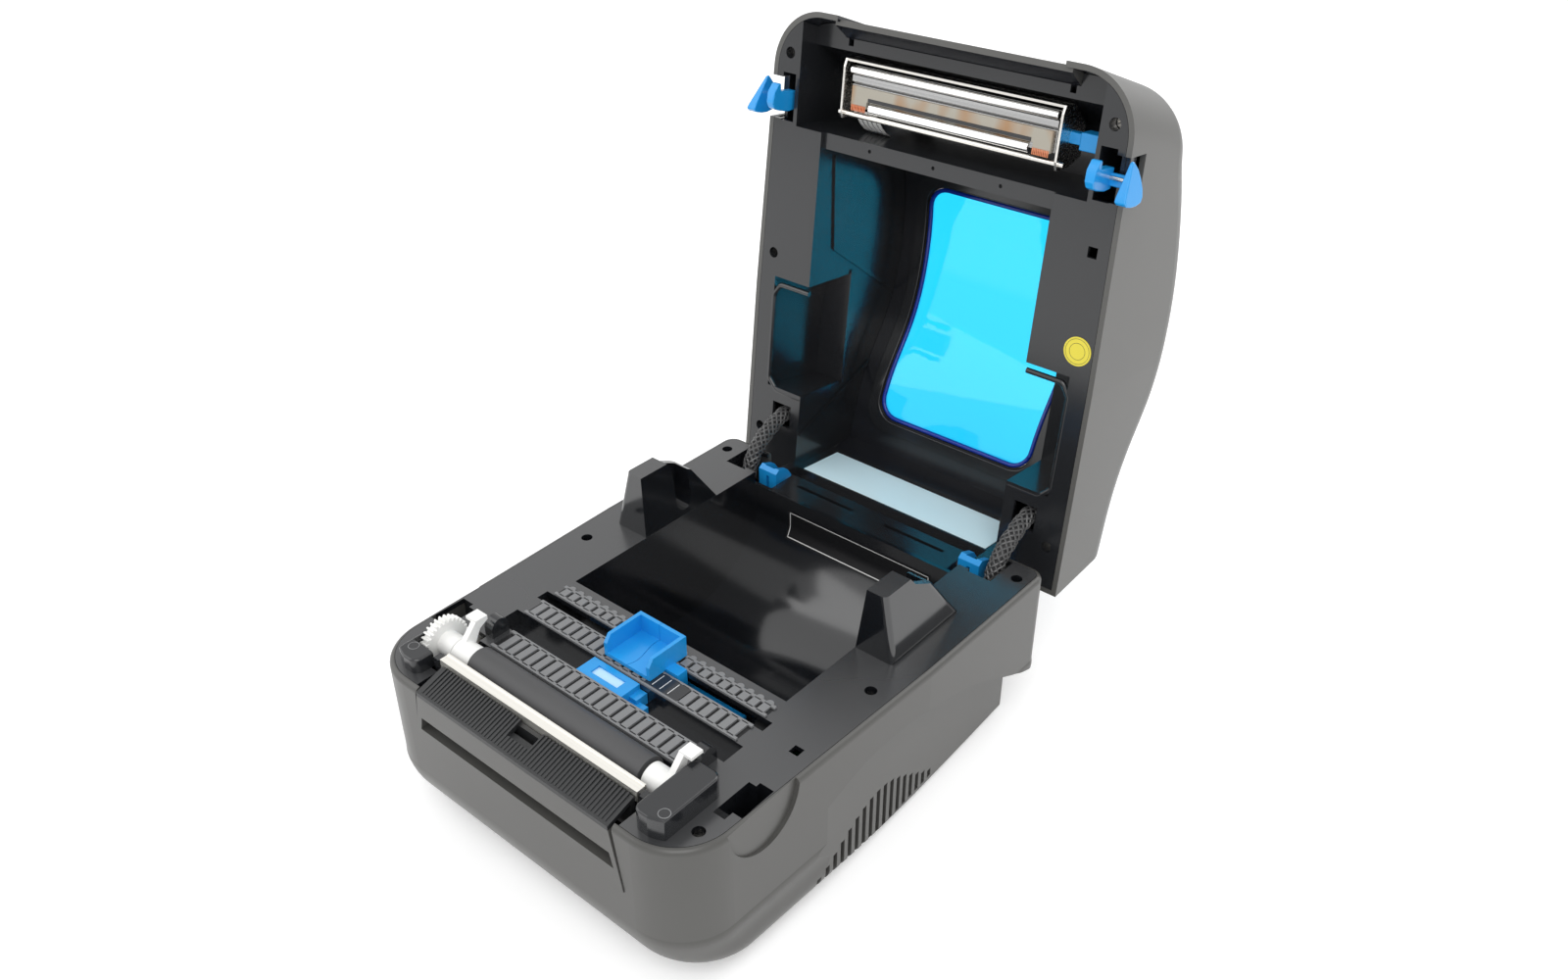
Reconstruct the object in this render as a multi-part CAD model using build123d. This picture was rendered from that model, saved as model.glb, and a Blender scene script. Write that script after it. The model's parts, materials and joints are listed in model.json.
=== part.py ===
from build123d import *
import math
import os

# Desktop label printer with its lid open. Millimetres, +X to the right, +Y to the back, +Z up.
# It is drawn about the middle of the base, with the lid closed. The lid is then turned open, and the whole
# is moved so that the origin lies on the table under the middle of the open printer.

# Base shell
deck_height = 88.0
foot_height = 3.0
base_length = 265.3
base_half_front = 104.2
base_half_waist = 109.3
base_half_rear = 109.5
waist_y = 30.0
plan_corner = 30.0
rear_corner = 8.0
front_sweep = 31.0
side_sweep = 12.0
rear_sweep = 6.0
wall = 2.6
fit_gap = 0.3
seam_gap = 0.2
rear_edge_round = 3.0
open_middle_y = 57.94

# Undercut of the lower body
tuck_half_rear = 99.0
tuck_start_y = -62.0
tuck_rear_y = 117.0
tuck_ridge = [(-62, 50), (-34, 60), (-13, 66), (10, 67), (42, 62), (78, 50.5), (114, 33), (140, 26)]

# Side vents
vent_pitch = 5.8
vent_width = 3.0
vent_first_y = -48.6
vent_count = 19
vent_low_z = 6.5
vent_arch_height = 26.0
vent_arch_base = 8.0
vent_arch_y = -2.6

# Finger recess beside each latch
recess_y = -84.2
recess_half_length = 21.5
recess_height = 24.0
recess_face_x = 104.2

# Deck and its well
deck_thick = 2.6
liner_wall = 2.2
well_half = 70.5
well_front_y = -30.0
well_rear_y = 110.4
roll_radius = 63.3
roll_y = 51.4
roll_z = 83.3
shelf_z = 66.0
shelf_half = 93.0
rear_gap_half = 78.0
cord_slot_half = 91.0
cord_slot_front_y = 107.4
cord_slot_rear_y = 128.4

# Spool pedestals
pedestal_front_y = 21.4
pedestal_rear_y = 77.4
pedestal_height = 34.5
pedestal_foot_half = 93.5
pedestal_top_inner = 74.5
pedestal_top_outer = 85.0
spool_slot_y = 52.0
spool_slot_width = 11.0
spool_slot_floor = 3.0

# Channels and slotted plates in the deck
channel_half = 75.0
sensor_front_y = -75.9
sensor_rear_y = -63.4
guide_front_y = -50.7
guide_rear_y = -43.9
channel_depth = 9.0
plate_rise = 1.2
plate_slot_pitch = 6.0
plate_slot_width = 1.2
plate_slot_depth = 1.0
plate_slot_count = 24

# Screws
screw_hole = 3.0
screw_shank = 1.4
screw_head = 2.7
screw_depth = 9.0
deck_screw_places = [(-100.0, 117.9), (100.0, 117.9), (-95.2, 1.4), (95.2, 1.4), (93.9, -111.4)]
lid_screw_places = [(-95.2, 217.0), (95.2, 217.0), (-99.4, -1.3), (99.4, -1.3), (-97.7, 107.3)]

# Platen and its drive
platen_y = -101.6
platen_z = 88.0
platen_radius = 8.5
platen_half = 56.0
shaft_radius = 3.0
running_gap = 0.05
gear_module = 0.8
gear_left_x = -85.6
gear_width = 5.0
platen_teeth = 30
idler_teeth = 36
pinion_teeth = 18
train_angle = -45.0
motor_size = 42.0
motor_length = 30.0
gear_plate_thick = 1.5

# Levers that lock the platen
bush_radius = 7.0
lever_inner_x = 57.4
lever_arm_x = 66.6
lever_arm_thick = 3.2
lever_tab_outer_x = 74.0
lever_tab_y = -90.5
lever_tab_z = 101.2
keeper_y = -81.2
keeper_radius = 5.0
keeper_rise = 4.4

# Front
panel_top_half = 63.6
panel_low_half = 69.6
panel_low_z = 52.8
outlet_low_z = 64.0
outlet_high_z = 72.0
tear_half = 65.0
tear_front_y = -117.2
tear_depth = 5.4
tear_top_z = 95.6
ramp_half = 63.4
ramp_rib_pitch = 2.2
ramp_rib_height = 0.7
cover_front_y = -126.5
cover_rear_y = -89.6
cover_inner_x = 71.6
cover_outer_x = 87.4
right_cover_z = 99.2
left_cover_z = 96.0
cover_inset = 3.0

# Blue media guides, their racks and the gap sensor slider
guide_half = 15.0
guide_wall = 2.0
guide_front = -60.6
guide_rear = -36.0
guide_top = 101.0
guide_floor_z = 89.6
guide_travel = 44.0
rack_teeth_module = 0.8
guide_pinion_teeth = 15
rack_z = 72.0
rack_height = 4.0
slider_left_x = -18.8
slider_right_x = 11.4
slider_foot_x = 21.0
slider_rise = 0.2

# Hinge
hinge_y = 129.0
hinge_z = 72.9
lid_opening = 96.17
hinge_pin_radius = 2.5
lug_radius = 6.0
lug_inner_x = 67.0
lug_width = 6.0
clevis_cheek = 3.2
clevis_front_y = 119.5
clevis_rear_y = 133.2
clevis_top_z = 85.6

# Lid, given by s, the distance up the open lid, and d, the depth behind its rim
lid_gap = 0.5
lid_zero_y = 106.85
lid_front_s = 240.0
lid_rear_s = -27.5
lid_half_front = 104.5
lid_half_waist = 109.0
lid_half_rear = 110.0
lid_waist_y = 20.0
lid_wall = 2.8
lid_shoulder = 17.0
lid_crown = [(-18.5, 57), (10, 60.5), (35, 69), (60, 82), (98, 90), (145, 86), (182, 75), (224, 62)]
facet_half = 66.0
facet_low_s = 237.8
facet_low_d = 2.4
facet_high_s = 197.0
facet_high_d = 64.0

# Lid liner
bay_half = 70.5
bay_front_s = 172.5
bay_rear_s = -18.0
hub_half = 95.5
hub_front_s = 94.0
hub_rear_s = 27.0
hub_depth = 37.5
head_bay_half = 88.0
head_bay_front_s = 226.0
head_bay_rear_s = 180.0
head_bay_depth = 42.0
front_step_s = 221.5
front_step_depth = 12.5
front_lip_s = 234.4
front_side_s = 236.6
cross_bar_sink = 2.6

# Window
window_half = 53.0
window_top_s = 143.0
window_low_s = 4.0
window_corner = 13.0
window_thick = 2.4
window_gap = 0.15

# Print head
head_gap = 0.3
bracket_half = 65.2
bracket_thick = 1.2
bracket_low_s = 188.0
bracket_high_s = 218.5
bracket_back_d = 31.0
head_half = 61.5
head_line_s = 208.45
head_float = 1.5

# Latches
latch_pivot_s = 192.8
latch_pivot_d = 7.5
latch_inner_x = 92.2
latch_thick = 4.6
latch_pin_radius = 1.5
wing_inner_x = 107.3
wing_outer_x = 113.6
catch_front_y = -99.9
catch_rear_y = -93.4
catch_low_z = 80.0
catch_high_z = 83.0

# Cords between base and lid
sleeve_radius = 5.0
sleeve_x = 84.5


def block(x0, x1, y0, y1, z0, z1):
    """A box between two corners."""
    return Pos((x0 + x1) / 2, (y0 + y1) / 2, (z0 + z1) / 2) * Box(abs(x1 - x0), abs(y1 - y0), abs(z1 - z0))


def across(face, x0, x1):
    """A profile of (y, z) carried from x0 to x1."""
    return Pos(x0, 0, 0) * extrude(Plane.YZ * face, x1 - x0)


def along(face, y0, y1):
    """A profile of (x, z) carried from y0 to y1."""
    return Pos(0, y1, 0) * extrude(Plane.XZ * face, y1 - y0)


def up(face, z0, z1):
    """A profile of (x, y) carried from z0 to z1."""
    return Pos(0, 0, z0) * extrude(face, z1 - z0)


def polygon(*points):
    return make_face(Polyline(*points, close=True))


def rounded(x0, x1, y0, y1, radius):
    """A rectangle with round corners."""
    return Pos((x0 + x1) / 2, (y0 + y1) / 2) * RectangleRounded(abs(x1 - x0), abs(y1 - y0), radius)


def rod(x0, x1, y, z, radius):
    """A round bar along X."""
    return Pos((x0 + x1) / 2, y, z) * Rot(0, 90, 0) * Cylinder(radius, abs(x1 - x0))


def post(x, y, z0, z1, radius):
    """A round bar along Z."""
    return Pos(x, y, (z0 + z1) / 2) * Cylinder(radius, z1 - z0)


def mirrored(shape):
    """The same piece on the other side."""
    return mirror(shape, Plane.YZ)


def both(shape):
    return shape + mirrored(shape)


def lid_y(s):
    """The closed place along Y of a point s up the lid."""
    return lid_zero_y - s


def lid_z(d):
    """The closed height of a point d behind the lid's rim."""
    return deck_height + lid_gap + d


def opened(shape):
    """Turns a piece of the closed lid to its open rest."""
    hinge = Axis((0, hinge_y, hinge_z), (1, 0, 0))
    return shape.rotate(hinge, -lid_opening)


def sweep_in(height, radius):
    """How far a quarter round of this radius draws in at this height above the bottom."""
    if height >= radius:
        return 0
    return radius - math.sqrt(radius**2 - (radius - height) ** 2)


def base_plan(inset, front_in=0.0, side_in=0.0, rear_in=0.0):
    """The outline of the base seen from above."""
    front = -base_length / 2 + inset + front_in
    rear = base_length / 2 - inset - rear_in
    side = inset + side_in
    face = polygon(
        (-base_half_front + side, front),
        (base_half_front - side, front),
        (base_half_waist - side, waist_y),
        (base_half_rear - side, rear),
        (-base_half_rear + side, rear),
        (-base_half_waist + side, waist_y),
    )
    face = fillet([v for v in face.vertices() if abs(v.Y - front) < 0.1], plan_corner - inset)
    return fillet([v for v in face.vertices() if abs(v.Y - rear) < 0.1], rear_corner - inset)


def base_block(inset):
    """The base's outer form, drawn in by inset."""
    bottom = foot_height + inset
    reach = front_sweep - inset
    slices = []
    for step in range(7):
        height = reach * (1 - math.cos(math.radians(15 * step)))
        face = base_plan(
            inset,
            sweep_in(height, reach),
            sweep_in(height, side_sweep - inset),
            sweep_in(height, rear_sweep - inset),
        )
        slices.append(Pos(0, 0, bottom + height) * face)
    return loft(slices) + up(base_plan(inset), bottom + reach, deck_height)


def tuck(inset):
    """What is cut from the sides and the rear below the ridge."""
    ridge = [(y, z + inset) for y, z in tuck_ridge]
    first, last = ridge[0], ridge[-1]
    floor = -5.0
    region = make_face([Spline(*ridge), Polyline(last, (last[0], floor), (first[0], floor), first)])
    half = base_half_waist - 1.4 - inset
    kept = polygon(
        (-half, -75),
        (half, -75),
        (half, tuck_start_y),
        (tuck_half_rear - inset, tuck_rear_y - inset),
        (-tuck_half_rear + inset, tuck_rear_y - inset),
        (-half, tuck_start_y),
    )
    return across(region, -120, 120) - up(kept, -10, 80)


def vent_top(y):
    """The arch that the vent slots rise to."""
    span = 140 if y < vent_arch_y else 122
    return vent_arch_base + vent_arch_height * math.cos(math.pi * (y - vent_arch_y) / span) ** 2


def lower_shell():
    outer = base_block(0) - tuck(0)
    top_edge = [
        e
        for e in outer.edges()
        if abs(e.center().Y - base_length / 2) < 0.2 and abs(e.center().Z - deck_height) < 0.1
    ]
    outer = fillet(top_edge, rear_edge_round)
    cavity = base_block(wall) - tuck(wall)
    shell = outer - cavity
    front = -base_length / 2
    mouth = polygon(
        (-panel_top_half - fit_gap, deck_height + 5),
        (-panel_low_half - fit_gap, panel_low_z - fit_gap),
        (panel_low_half + fit_gap, panel_low_z - fit_gap),
        (panel_top_half + fit_gap, deck_height + 5),
    )
    shell -= along(mouth, front - 5, front + wall + 6)
    for i in range(vent_count):
        y = vent_first_y + i * vent_pitch
        top = vent_top(y)
        if top > vent_low_z + 4:
            slot = block(88, 115, y - vent_width / 2, y + vent_width / 2, vent_low_z, top)
            shell -= both(slot)
    oval = Pos(recess_face_x, recess_y, deck_height) * extrude(
        Plane.YZ * Ellipse(recess_half_length, recess_height), 12
    )
    shell -= both(oval)
    rear_opening = block(
        -rear_gap_half - seam_gap, rear_gap_half + seam_gap, base_length / 2 - 8, base_length / 2 + 5,
        shelf_z, deck_height + 5,
    )
    shell -= rear_opening
    shell -= block(-72, 72, -40, 85, 0, foot_height + wall + 1)
    for x, w, h in rear_ports:
        low, high = port_z - h / 2, port_z + h / 2
        shell -= block(x - w / 2, x + w / 2, tuck_rear_y - 6, tuck_rear_y + 6, low, high)
    return shell


# Sockets on the lower rear wall: place along X, width and height
port_z = 20.0
rear_ports = [(-70.0, 20.0, 13.0), (-40.0, 12.0, 11.0), (-18.0, 12.4, 11.4)]


def well_profile(grow):
    """The well's section in (y, z): a front slope that runs into the round trough."""
    radius = roll_radius + grow
    touch = math.radians(215)
    front = well_front_y - grow
    touch_y = roll_y + radius * math.cos(touch)
    touch_z = roll_z + radius * math.sin(touch)
    slope = math.tan(touch - math.pi / 2)
    rear = well_rear_y + grow
    rear_z = roll_z - math.sqrt(radius**2 - (rear - roll_y) ** 2)
    top = deck_height + 3
    start_z = min(touch_z + (front - touch_y) * slope, top - 1)
    arc = ThreePointArc((touch_y, touch_z), (roll_y, roll_z - radius), (rear, rear_z))
    lines = Polyline((rear, rear_z), (rear, top), (front, top), (front, start_z), (touch_y, touch_z))
    return make_face([arc, lines])


def pedestal():
    """One hump that carries the spool, on the right."""
    top = deck_height + pedestal_height
    front, rear = pedestal_front_y, pedestal_rear_y
    side = polygon(
        (front, deck_height - 1),
        (front + 2.5, top),
        (spool_slot_y - spool_slot_width / 2 - 3, top),
        (spool_slot_y - spool_slot_width / 2, top - 4),
        (spool_slot_y + spool_slot_width / 2 + 2.5, top - 10.5),
        (rear, deck_height - 1),
    )
    end = polygon(
        (well_half, deck_height - 2),
        (pedestal_top_inner, top + 1),
        (pedestal_top_outer, top + 1),
        (pedestal_foot_half, deck_height - 2),
    )
    hump = across(side, well_half - 1, pedestal_foot_half + 1) & along(end, front - 1, rear + 1)
    uprights = [e for e in hump.edges() if e.length > 30 and e.center().X > pedestal_top_outer]
    hump = fillet(uprights, 3)
    radius = spool_slot_width / 2
    floor = deck_height + spool_slot_floor + radius
    groove = Pos(0, spool_slot_y, floor) * rod(well_half - 5, pedestal_top_outer - 2, 0, 0, radius)
    groove += block(
        well_half - 5, pedestal_top_outer - 2,
        spool_slot_y - radius, spool_slot_y + radius, floor, top + 5,
    )
    return hump - groove


def latch_pocket(grow):
    """The stepped hole that a latch hook drops into, on the right."""
    low = deck_height - 24 - grow
    hole = block(91 - grow, 97.5 + grow, -99.9 - grow, -77.6 + grow, low, deck_height + 1)
    return hole + block(95 - grow, 102.6, -94.9 - grow, -75.0 + grow, low, deck_height + 1)


def deck():
    top, under = deck_height, deck_height - deck_thick
    plate = up(base_plan(wall + seam_gap), under, top)
    body = plate
    tub = across(well_profile(liner_wall), -well_half - liner_wall, well_half + liner_wall)
    body += tub & block(-100, 100, -60, 125, 0, under + 0.5)
    limit = up(base_plan(wall + seam_gap), 40, under + 0.5)
    body += both(latch_pocket(liner_wall)) & limit
    lower = deck_height - channel_depth
    body += block(
        -channel_half - 2, channel_half + 2, sensor_front_y - 2, sensor_rear_y + 1.4, lower - 2, under + 0.5
    )
    body += block(-78, 78, rack_box_front_y - 2, rack_box_rear_y + 2, rack_z - 3, under + 0.5)
    shelf_rear = base_length / 2 - wall - seam_gap
    body += block(-shelf_half, shelf_half, well_rear_y, shelf_rear, shelf_z - liner_wall, shelf_z)
    body += both(
        block(shelf_half - 2, shelf_half, cord_slot_front_y - 2, base_length / 2 - wall - seam_gap,
              shelf_z - 2.2, under + 0.5)
    )
    body += both(
        block(well_half, shelf_half, cord_slot_front_y - 2, cord_slot_front_y, shelf_z - 2.2, under + 0.5)
    )
    body += both(pedestal())
    for x, y in deck_screw_places:
        body += post(x, y, deck_height - screw_depth - 8, under + 0.5, screw_hole + 2) & limit
    body -= across(well_profile(0), -well_half, well_half)
    body -= both(latch_pocket(0))
    body -= block(-channel_half, channel_half, sensor_front_y, sensor_rear_y, lower, top + 5)
    body -= block(-channel_half, channel_half, guide_front_y, guide_rear_y, rack_z, top + 5)
    body -= block(-76, 76, rack_box_front_y, rack_box_rear_y, rack_z - fit_gap, under)
    body -= block(-rear_gap_half, rear_gap_half, well_rear_y + liner_wall, base_length, shelf_z, top + 5)
    body -= block(-rear_gap_half, rear_gap_half, well_rear_y - 1, base_length, bar_top_z, top + 5)
    body -= both(block(
        rear_gap_half - 1, cord_slot_half, cord_slot_front_y, cord_slot_rear_y, shelf_z, top + 5))
    body -= block(-71.2, 71.2, platen_bay_front_y, platen_bay_rear_y, 40, top + 5)
    body -= block(-ramp_half - 3.4, ramp_half + 3.4, -140, platen_bay_front_y + 1, 40, top + 5)
    body -= block(-89.4, -70, platen_bay_front_y, platen_y + 15, 40, top + 5)
    for x, y in deck_screw_places:
        body -= post(x, y, deck_height - screw_depth, top + 1, screw_hole)
        body -= post(x, y, 60, top + 1, screw_shank)
    body -= block(91.8, 96.8, -52.9, -47.9, under - 1, top + 1)
    catch = block(90, 98.5, catch_front_y - 1, catch_rear_y, catch_low_z, catch_high_z)
    body += both(catch)
    body += post(0, guide_pinion_y, rack_z - 3, rack_z + rack_height + 1, 2.0)
    return body


platen_bay_front_y = -118.4
platen_bay_rear_y = -91.0
guide_pinion_y = (guide_front_y + guide_rear_y) / 2
rack_pitch = guide_pinion_teeth * rack_teeth_module / 2
rack_back = 3.0
rack_box_front_y = guide_pinion_y - rack_pitch - rack_back - 2.0
rack_box_rear_y = guide_pinion_y + rack_pitch + rack_back + 2.0
bar_top_z = deck_height - 9.0


def bottom_plate():
    plate = block(-71.7, 71.7, -39.7, 84.7, foot_height, foot_height + wall)
    for i in range(9):
        x = -40 + i * 10
        plate -= block(x - 1.5, x + 1.5, -10, 50, 0, foot_height + wall + 1)
    return plate


def rubber_feet():
    foot = Cone(9, 8, foot_height, rotation=(180, 0, 0))
    feet = [Pos(x, y, foot_height / 2) * foot for x, y in ((84, 92), (66, -78))]
    return both(Part() + feet)


def front_panel():
    front = -base_length / 2 - 0.6
    rear = front + 3.0
    face = polygon(
        (-panel_top_half, deck_height - 2.8),
        (-panel_low_half, panel_low_z),
        (panel_low_half, panel_low_z),
        (panel_top_half, deck_height - 2.8),
    )
    slot = polygon(
        (-panel_top_half + 0.8, outlet_high_z),
        (-panel_top_half - 1.2, outlet_low_z),
        (panel_top_half + 1.2, outlet_low_z),
        (panel_top_half - 0.8, outlet_high_z),
    )
    panel = along(face, front, rear)
    lip = along(offset(slot, 1.6), rear - 1, rear + 5)
    panel += lip
    panel -= along(slot, front - 5, rear + 12)
    inner = -base_length / 2 + wall
    foot = panel_low_half - 1
    panel += block(-foot, foot, rear - 1, inner + 1.4, panel_low_z + 0.5, panel_low_z + 5)
    return panel + block(
        -panel_low_half - 3, panel_low_half + 3, inner, inner + 1.4, panel_low_z - 2, panel_low_z + 6)


def label_ramp():
    """The ribbed slope from the front edge up to the tear bar, with its finger notch."""
    front, rear = -base_length / 2 - 0.6, tear_front_y - 0.4
    low, high = deck_height - 0.5, tear_top_z - 3.2
    side = polygon((front, low - 2.2), (front, low), (rear, high), (rear, high - 2.2))
    slab = across(side, -ramp_half, ramp_half)
    count = int(2 * (ramp_half - 1) / ramp_rib_pitch)
    start = -ramp_rib_pitch * (count - 1) / 2
    rib_side = polygon(
        (front + 0.6, low - 0.4),
        (front + 1.4, low + 0.1 + ramp_rib_height),
        (rear, high + ramp_rib_height),
        (rear, high - 0.4),
    )
    middles = [start + i * ramp_rib_pitch for i in range(count)]
    slab += [across(rib_side, x - 0.55, x + 0.55) for x in middles]
    slab -= block(-7.3, 7.3, rear - 8.6, rear + 1, low + 1.2, high + 4)
    slab += block(-ramp_half, ramp_half, rear - 2, rear + 0.2, platen_z - 14, high - 1.2)
    return slab


def tear_bar():
    rear = tear_front_y + tear_depth
    bar = block(-tear_half, tear_half, tear_front_y, rear, tear_top_z - 1.2, tear_top_z)
    bar += block(-tear_half, tear_half, tear_front_y, tear_front_y + 1.2, tear_top_z - 6, tear_top_z)
    return bar + block(-tear_half, tear_half, rear - 1.0, rear, tear_top_z - 2.4, tear_top_z + 0.4)


def tear_bar_carrier():
    """The dark beam under the tear bar, with a post at each end."""
    rear = tear_front_y + tear_depth - 1.2
    end = lever_arm_x + 3.4
    beam = block(-end, end, tear_front_y + 1.2, rear, tear_top_z - 8, tear_top_z - 1.2)
    ends = block(66.2, end, tear_front_y, rear, platen_z - 12, tear_top_z - 1.2)
    return beam + both(ends)


def end_cover(top, corner, thick):
    """A cap over one end of the platen, on the right, open below."""
    outline = rounded(cover_inner_x, cover_outer_x, cover_front_y, cover_rear_y, corner)
    outline &= base_plan(wall + cover_inset)
    shape = up(outline, deck_height, top)
    shape = fillet(shape.faces().sort_by(Axis.Z)[-1].edges(), 1.2)
    x0, x1 = cover_inner_x + thick, cover_outer_x - thick
    inner = rounded(x0, x1, cover_front_y + thick, cover_rear_y - thick, corner - 1.5)
    inner &= base_plan(wall + cover_inset + thick)
    return shape - up(inner, deck_height - 1, top - thick)


def end_cover_right():
    shape = end_cover(right_cover_z, 4.0, 1.6)
    return shape - block(cover_inner_x - 1, cover_inner_x + 3, platen_y - 8, platen_y + 8.4, 80, 97.2)


def end_cover_left():
    """The lower cap on the left, cut open for the platen gear."""
    shape = mirrored(end_cover(left_cover_z, 4.5, 1.4))
    front, rear = platen_y - 14.5, cover_rear_y + 1
    return shape - block(gear_left_x - 0.5, -cover_inner_x + 1, front, rear, 80, 110)


def slotted_plate(front, rear, half, scallop=0.0):
    """A rail of the paper bed with cross slots. A scalloped one has a notched rear edge."""
    top = deck_height + plate_rise
    plate = up(rounded(-half, half, front, rear, 1.0), deck_height, top)
    start = -plate_slot_pitch * (plate_slot_count - 1) / 2
    for i in range(plate_slot_count):
        x = start + i * plate_slot_pitch
        if abs(x) + plate_slot_width < half:
            plate -= block(
                x - plate_slot_width / 2, x + plate_slot_width / 2, front + 1.6, rear - 1.6 + scallop,
                top - plate_slot_depth, top + 1,
            )
    return plate


def lever_keepers():
    """Half-round bosses behind the levers."""
    x0, x1 = bracket_half + 0.5, lever_tab_outer_x - 2.5
    y, radius = keeper_y, keeper_radius
    keeper = rod(x0, x1, y, deck_height + keeper_rise, radius)
    keeper += block(x0, x1, y - radius, y + radius, deck_height, deck_height + keeper_rise)
    keeper -= block(x0 - 1, x1 + 1, y - 9, y + 9, deck_height - 9, deck_height)
    return both(keeper)


def platen_seats():
    """Cradles in which the platen's bushings sit."""
    front, rear = tear_front_y + 0.2, platen_bay_rear_y - 0.4
    low = deck_height - 14
    under = deck_height - deck_thick
    bed = block(-65.8, 65.8, front, rear, low, low + 2)
    bed += block(-65.8, 65.8, rear - 1.8, rear, low, under)
    bed += block(-65.8, 65.8, rear - 1.8, rear + 4, under - 2, under)
    seat = block(58.6, 65.8, platen_y - 9.5, platen_y + 9.5, low, deck_height - 1)
    seat += block(63.0, 65.8, front, rear, low, under)
    seat += block(63.0, 75.0, front + 4, front + 10, under - 2, under)
    bed += both(seat)
    bed -= rod(-75, 75, platen_y, platen_z, bush_radius + running_gap)
    reach = bush_radius + running_gap
    return bed - block(-75, 75, platen_y - reach, platen_y + reach, platen_z, deck_height + 12)


def platen_lever():
    """White bushing with its arm and finger tab, on the right."""
    bush = rod(lever_inner_x, lever_arm_x + lever_arm_thick, platen_y, platen_z, bush_radius)
    reach = polygon(
        (platen_y - 2, platen_z + 4),
        (platen_y + 4.5, platen_z),
        (lever_tab_y - 1.5, lever_tab_z - 3.4),
        (lever_tab_y + 3.5, lever_tab_z - 0.6),
        (lever_tab_y + 3.5, lever_tab_z + 1.6),
        (lever_tab_y - 3, lever_tab_z + 1.6),
    )
    arm = across(reach, lever_arm_x, lever_arm_x + lever_arm_thick)
    tab = block(
        lever_arm_x, lever_tab_outer_x, lever_tab_y - 3.5, lever_tab_y + 3.5, lever_tab_z, lever_tab_z + 1.6)
    return bush + arm + tab - rod(50, 80, platen_y, platen_z, shaft_radius + running_gap)


def platen_shaft():
    shaft = rod(-platen_half - 1, platen_half + 1, platen_y, platen_z, shaft_radius + 1.5)
    end_x = lever_arm_x + lever_arm_thick + 1.2
    return shaft + rod(gear_left_x - 0.2, end_x, platen_y, platen_z, shaft_radius)


def platen_rubber():
    roll = rod(-platen_half, platen_half, platen_y, platen_z, platen_radius)
    return roll - rod(-platen_half - 1, platen_half + 1, platen_y, platen_z, shaft_radius + 1.5)


def gear(teeth, module, width, bore, thin=0.13):
    """A spur gear about Z with involute flanks, from z = 0 to width, a tooth centred on +X."""
    pitch = module * teeth / 2
    base = pitch * math.cos(math.radians(20))
    outer = pitch + 0.9 * module
    root = pitch - 1.2 * module
    half = math.pi / (2 * teeth) - thin / (2 * pitch)

    def involute(radius):
        if radius <= base:
            return 0.0
        roll = math.sqrt((radius / base) ** 2 - 1)
        return roll - math.atan(roll)

    at_pitch = involute(pitch)
    radii = [max(base, root) + (outer - max(base, root)) * k / 3 for k in range(4)]
    points = []
    for i in range(teeth):
        middle = 2 * math.pi * i / teeth
        flank = [(r, half + at_pitch - involute(r)) for r in radii]
        if root < base:
            flank.insert(0, (root, half + at_pitch))
        for r, a in flank:
            points.append((r * math.cos(middle - a), r * math.sin(middle - a)))
        for r, a in reversed(flank):
            points.append((r * math.cos(middle + a), r * math.sin(middle + a)))
    body = extrude(polygon(*points), width)
    return body - Pos(0, 0, width / 2) * Cylinder(bore, width * 2)


def drive_gear(teeth, y, z, turn, bore):
    """A gear of the drive train about X, turned so that a tooth points at this angle in (y, z)."""
    wheel = gear(teeth, gear_module, gear_width, bore)
    wheel = Rot(0, 0, turn) * wheel
    return Pos(gear_left_x, y, z) * (Plane.YZ.location * wheel)


idler_gap = gear_module * (platen_teeth + idler_teeth) / 2
idler_y = platen_y + idler_gap * math.cos(math.radians(train_angle))
idler_z = platen_z + idler_gap * math.sin(math.radians(train_angle))
pinion_gap = gear_module * (idler_teeth + pinion_teeth) / 2
pinion_y = idler_y
pinion_z = idler_z - pinion_gap


def platen_gear():
    wheel = drive_gear(platen_teeth, platen_y, platen_z, train_angle, shaft_radius)
    right = gear_left_x + gear_width
    hub = rod(right - 1, -lever_arm_x - lever_arm_thick - 1.0, platen_y, platen_z, bush_radius - 0.6)
    return wheel + (hub - rod(-100, 0, platen_y, platen_z, shaft_radius))


def idler_gear():
    turn = train_angle + 180 + 180 / idler_teeth
    wheel = drive_gear(idler_teeth, idler_y, idler_z, turn, 2.0 + running_gap)
    return wheel


def pinion_turn():
    """The pinion's turn that sets a gap of it against the idler's tooth."""
    idler_turn = train_angle + 180 + 180 / idler_teeth
    pitch_angle = 360 / idler_teeth
    ahead = (-90 - idler_turn) % pitch_angle
    return 90 + 180 / pinion_teeth + ahead * idler_teeth / pinion_teeth


def motor_pinion():
    wheel = drive_gear(pinion_teeth, pinion_y, pinion_z, pinion_turn(), 2.5)
    return wheel + rod(gear_left_x, motor_left_x + 1, pinion_y, pinion_z, 2.5)


motor_left_x = gear_left_x + gear_width + 1.0 + gear_plate_thick


def stepper_motor():
    half = motor_size / 2
    body = Pos(motor_left_x, pinion_y, pinion_z) * extrude(
        Plane.YZ * RectangleRounded(motor_size, motor_size, 4), motor_length)
    body -= rod(motor_left_x - 1, motor_left_x + 6, pinion_y, pinion_z, 5.0)
    return body


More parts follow.
